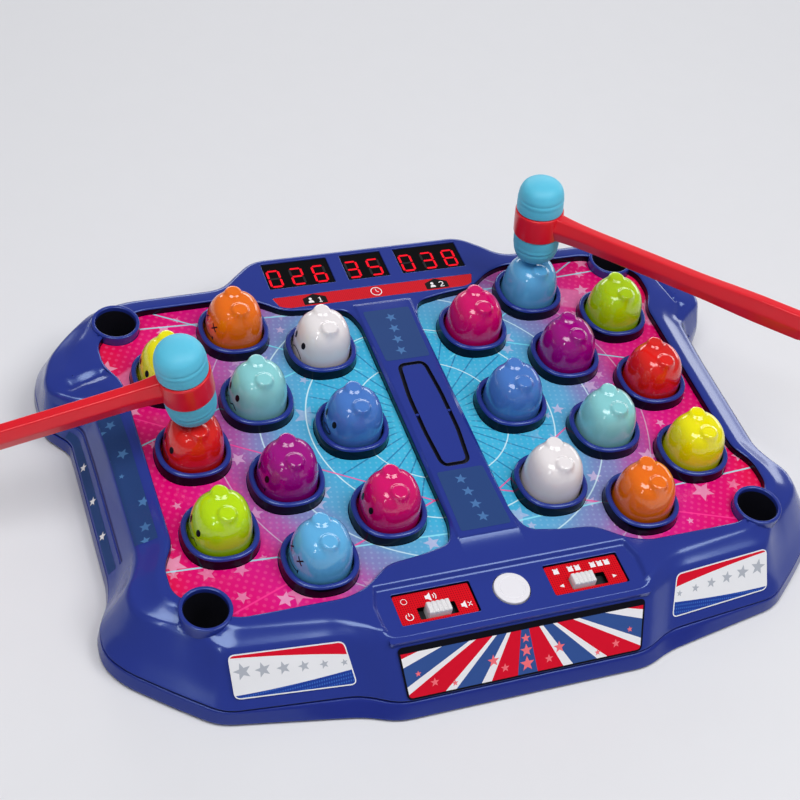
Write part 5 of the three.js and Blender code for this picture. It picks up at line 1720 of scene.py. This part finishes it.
def plate_icons(side):
    """The icons round one switch plate's slot."""
    x, y = side * PLATE_PLACE[0], PLATE_PLACE[1]
    top = y + 6.6
    if side < 0:
        shapes = [moved(s, (x - 20.2, y - 6.0), 0, 1.2) for s in power_icon()]
        shapes += [moved(s, (x - 1.5, top), 0, 1.5) for s in speaker_icon(True)]
        shapes += [moved(s, (x + 20.0, y - 4.6), 0, 1.35) for s in speaker_icon(False)]
        shapes += [stroke(arc(2.1, 0, 360, (x - 20.2, y + 6.3)), 0.4)]
    else:
        shapes = []
        for i, count in enumerate((1, 2, 3)):
            for k in range(count):
                centre = (x + (-19.5, -6.0, 13.5)[i] + (k - (count - 1) / 2) * 5.3, top)
                shapes += [moved(s, centre) for s in mole_icon(1.95)]
        arrow = fan(np.array([(-1.6, -1.4), (1.6, 0), (-1.6, 1.4)]))
        shapes += [moved(arrow, (x + way * 20.0, y - 5.2), turn) for way, turn in ((-1, math.pi), (1, 0))]
    return placed(shapes, at(SWITCH_PLATE_TOP + PRINT_GAP), 1)


class MOLEGAME_OT_controls(BuildStep):
    """Builds the switch plates, the slide knobs and the start button"""

    bl_idname = "molegame.controls"
    bl_label = "Controls"

    def build(self, scene):
        red = dotted_print("plate_red", linear(214, 14, 30), linear(120, 4, 16), 1.7, 0.2)
        white = MADE["print_white"]
        for name, side in (("sound_plate", -1), ("mode_plate", 1)):
            piece(f"{name}_fine", switch_plate_parts(side) + plate_icons(side), [red, white], "housing",
                  [name])
        ivory = plastic("knob_white", linear(226, 224, 226), 0.34, mottle=0.06, scuff=0.1)
        for name, x in (("sound_knob", -54.94), ("mode_knob", 50.14)):
            piece(f"{name}_fine", knob_parts(x), ivory, name, [name])
        button = plastic("button_white", linear(232, 230, 236), 0.3, mottle=0.05, scuff=0.06)
        piece("start_button_fine", button_parts(), button, "start_button", ["start_button"])


def divider_stickers():
    """Two star panels on the divider: a column of four stars each, on slate blue."""
    made = []
    for way in (-1, 1):
        outline = rounded(np.array([(-17.4, 55), (17.4, 55), (18.6, 108), (-18.6, 108)]) * [1, way], 2.0, 4, 2)
        made += [(p, f, 0) for p, f in outline_plate(anticlockwise(outline), RIM + 0.02, RIM + 0.1)]
        stars = [fan(star(4.6, (-2.5 + 1.2 * i, way * (64 + 11.6 * i)), 0.3 * way)) for i in range(4)]
        made += placed(stars, at(RIM + 0.13), 1)
    return carried(made, on_pad)


def end_sticker_parts(side):
    """An end rail's stickers: star print on the slope, a dark navy band of painted groove shade, a raised bead and a
    strip with white stars.
    """
    # The band from 25.4 to 28.6 mm, mark 3, is dark navy painted shade of a groove just above the bead
    made = [(*grid(rail_patch(side, low, high, 0.12), closed=False), mark)
            for low, high, mark in (((42.2, 49.3, 0), (34.0, 41.5, 0))[side > 0], (13.4, 20.6, 1), (25.4, 28.6, 3))]
    line = rail_patch(side, 22, 27, 0)
    middle = len(line) // 2
    along, up = np.gradient(line, axis=1)[middle], np.gradient(line, axis=0)[middle]
    out = np.cross(along, up)
    out *= np.sign(out[:, :1] * side)
    up, out = (v / np.linalg.norm(v, axis=1, keepdims=True) for v in (up, out))
    turns = np.linspace(0, np.pi, 9)[:, None, None]
    bead = line[middle] + 0.8 * (np.cos(turns) * up + 0.8 * np.sin(turns) * out)
    made.append((*grid(bead, closed=False), 4))
    wall = rail_patch(side, 12.6, 21.6, 0.2)[:, 12]
    for y in (27, -4, -35):
        points, faces = fan(star(3.3, (y, 17.0), 0.2))
        x = np.interp(points[:, 1], wall[:, 2], wall[:, 0])
        made.append((np.column_stack([x, points]), faces, 2))
    return made


class MOLEGAME_OT_labels(BuildStep):
    """Builds the nameplate, the front labels and the divider's stickers"""

    bl_idname = "molegame.labels"
    bl_label = "Labels"

    def build(self, scene):
        inks = [ink("border_painted_shadow", 12, 12, 22), ink("ray_red", 214, 16, 44), ink("ray_white", 236, 234, 238),
                ink("ray_blue", 52, 82, 146), ink("star_coral", 244, 112, 122)]
        piece("nameplate_fine", nameplate_parts(), inks, "housing", ["nameplate"])
        white = ink("label_white", 232, 232, 236)
        blue = dotted_print("band_blue", linear(34, 62, 150), linear(58, 104, 190), 1.6, 0.27)
        side_inks = [white, MADE["ray_red"], blue, ink("star_grey", 176, 180, 190)]
        for end, side in SIDES:
            piece(f"front_label_{end}_fine", side_label_parts(side), side_inks, "housing",
                  [f"front_label_{end}"])
        slate = ink("sticker_slate", 40, 68, 122, 0.5)
        piece("divider_stickers", divider_stickers(), [slate, ink("sticker_star", 74, 116, 170)], "housing")
        slope = star_print("slope_stars", linear(40, 66, 118), linear(78, 124, 176), 25.0, 0.95, 0.25)
        end_inks = [slope, slate, MADE["print_white"], ink("band_painted_shade", 30, 30, 100, 0.25), housing_blue()]
        for end, side in SIDES:
            piece(f"end_stickers_{end}", end_sticker_parts(side), end_inks, "housing", turn_out=False)


class MOLEGAME_OT_hammers(BuildStep):
    """Builds the two hammers with their soft caps"""

    bl_idname = "molegame.hammers"
    bl_label = "Hammers"

    def build(self, scene):
        red = plastic("hammer_red", linear(226, 16, 36), 0.3, coat=0.15, mottle=0.05, scuff=0.08, relief=0.01)
        foam = plastic("hammer_cap_blue", linear(90, 195, 226), 0.52, mottle=0.05, scuff=0.05, relief=0.03, soft=0.1)
        for hand in ("left", "right"):
            body = f"hammer_{hand}"
            piece(f"{body}_handle_fine", posed(handle_parts(), hand), red, body, [f"{body}_handle"])
            for level, way in (("upper", 1), ("lower", -1)):
                made = piece(f"{body}_{level}_cap_fine", posed(hammer_cap_parts(way), hand), foam, body,
                             [f"{body}_{level}_cap"])


class MOLEGAME_OT_inner(BuildStep):
    """Gives the boards, the speaker, the cells and the door their materials"""

    bl_idname = "molegame.inner"
    bl_label = "Inner pieces"

    def build(self, scene):
        board = plastic("board_green", linear(31, 107, 58), 0.45, mottle=0.15)
        kinds = {"mole_board": board, "display_board": board,
                 # The control board is near black as painted shade, so that the slots over it read dark
                 "control_board": plastic("board_painted_shade", linear(22, 26, 30), 0.5),
                 "speaker": plastic("speaker_dark", linear(40, 40, 44), 0.5, mottle=0.2),
                 "battery_door": MADE["base_blue"],
                 "battery": plastic("cell_case", linear(196, 160, 70), 0.3, metallic=0.6),
                 "door_screw": plastic("screw_steel", linear(190, 190, 194), 0.3, metallic=1.0)}
        for name, node in frame["nodes"].items():
            kind = next((k for k in ("battery_door", *kinds) if name.startswith(k)), None)
            if kind is not None:
                node.data.materials.clear()
                node.data.materials.append(kinds[kind])


class MOLEGAME_OT_stage(BuildStep):
    """Sets the floor, the light and the camera"""

    bl_idname = "molegame.stage"
    bl_label = "Stage"

    def build(self, scene):
        settings = scene.molegame_light
        mesh = bpy.data.meshes.new("floor")
        z = -1.5 * MILLIMETRE - 0.0002
        mesh.from_pydata([(-4, -4, z), (4, -4, z), (4, 4, z), (-4, 4, z)], [], [(0, 1, 2, 3)])
        floor = bpy.data.objects.new("floor", mesh)
        scene.collection.objects.link(floor)
        mesh.materials.append(plastic("floor_pale", linear(226, 226, 230), 0.7, mottle=0.02, scuff=0.02, relief=0.01))
        world = bpy.data.worlds.new("surroundings")
        scene.world = world
        world.use_nodes = True
        back = world.node_tree.nodes["Background"]
        back.inputs[0].default_value = (0.93, 0.96, 1.0, 1)
        back.inputs[1].default_value = settings.sky
        for name, place, size, tall, power in (("overhead_light", (-0.55, -0.35, 1.85), 0.9, 0.9, settings.key),
                                               ("back_light", (0.6, 2.1, 0.72), 2.4, 0.5, settings.rim),
                                               ("sheen_light", (0.66, -0.5, 1.6), 0.9, 0.85, 14.0),
                                               ("rail_light", (1.9, 1.05, 0.3), 0.9, 0.5, 4.5),
                                               ("side_light", (-1.5, -1.3, 1.3), 0.12, 0.7, 3.0)):
            data = bpy.data.lights.new(name, "AREA")
            data.shape, data.size, data.size_y, data.energy = "RECTANGLE", size, tall, power
            lamp = bpy.data.objects.new(name, data)
            scene.collection.objects.link(lamp)
            lamp.location = place
            lamp.rotation_euler = (-Vector(place)).to_track_quat("-Z", "Y").to_euler()
        az, el, roll = (math.radians(v) for v in (CAMERA_TURN, CAMERA_RISE, CAMERA_ROLL))
        back = Vector((math.sin(az) * math.cos(el), -math.cos(az) * math.cos(el), math.sin(el)))
        across = Vector((0, 0, 1)).cross(back).normalized()
        up = back.cross(across)
        right = across * math.cos(roll) + up * math.sin(roll)
        top = up * math.cos(roll) - across * math.sin(roll)
        lens = bpy.data.cameras.new("camera")
        lens.lens, lens.sensor_width, lens.clip_start = settings.lens, 36, 0.05
        camera = bpy.data.objects.new("camera", lens)
        scene.collection.objects.link(camera)
        camera.rotation_mode = "QUATERNION"
        camera.location = Vector(CAMERA_AIM) * MILLIMETRE + back * CAMERA_REACH
        turn = np.eye(4)
        turn[:3, :3] = np.array([right, top, back]).T
        camera.rotation_quaternion = Matrix(turn.tolist()).to_quaternion()
        scene.camera = camera
        scene.view_settings.view_transform = "Standard"


class MOLEGAME_PT_panel(bpy.types.Panel):
    """Sidebar panel with the settings and a button for each step."""

    bl_label = "Mole game"
    bl_idname = "MOLEGAME_PT_panel"
    bl_space_type = "VIEW_3D"
    bl_region_type = "UI"
    bl_category = "Mole game"

    def draw(self, context):
        for group in (context.scene.molegame_pieces, context.scene.molegame_light):
            for key in group.__annotations__:
                self.layout.prop(group, key)
        for step in STEPS:
            self.layout.operator(step.bl_idname)


STEPS = (MOLEGAME_OT_housing, MOLEGAME_OT_fields, MOLEGAME_OT_moles, MOLEGAME_OT_display, MOLEGAME_OT_controls,
         MOLEGAME_OT_labels, MOLEGAME_OT_hammers, MOLEGAME_OT_inner, MOLEGAME_OT_stage)
CLASSES = (PieceSettings, LightSettings, *STEPS, MOLEGAME_PT_panel)


def register():
    """Registers the classes and the scene's settings."""
    for kind in CLASSES:
        bpy.utils.register_class(kind)
    bpy.types.Scene.molegame_pieces = bpy.props.PointerProperty(type=PieceSettings)
    bpy.types.Scene.molegame_light = bpy.props.PointerProperty(type=LightSettings)


def unregister():
    """Removes what register added."""
    del bpy.types.Scene.molegame_light
    del bpy.types.Scene.molegame_pieces
    for kind in reversed(CLASSES):
        bpy.utils.unregister_class(kind)


def main():
    """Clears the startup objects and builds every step."""
    for thing in list(bpy.data.objects):
        if thing.name in ("Cube", "Light", "Camera"):
            bpy.data.objects.remove(thing)
    register()
    for step in STEPS:
        group, name = step.bl_idname.split(".")
        if getattr(getattr(bpy.ops, group), name)() != {"FINISHED"}:
            raise RuntimeError(f"{step.bl_label} didn't finish")


if __name__ == "__main__":
    main()
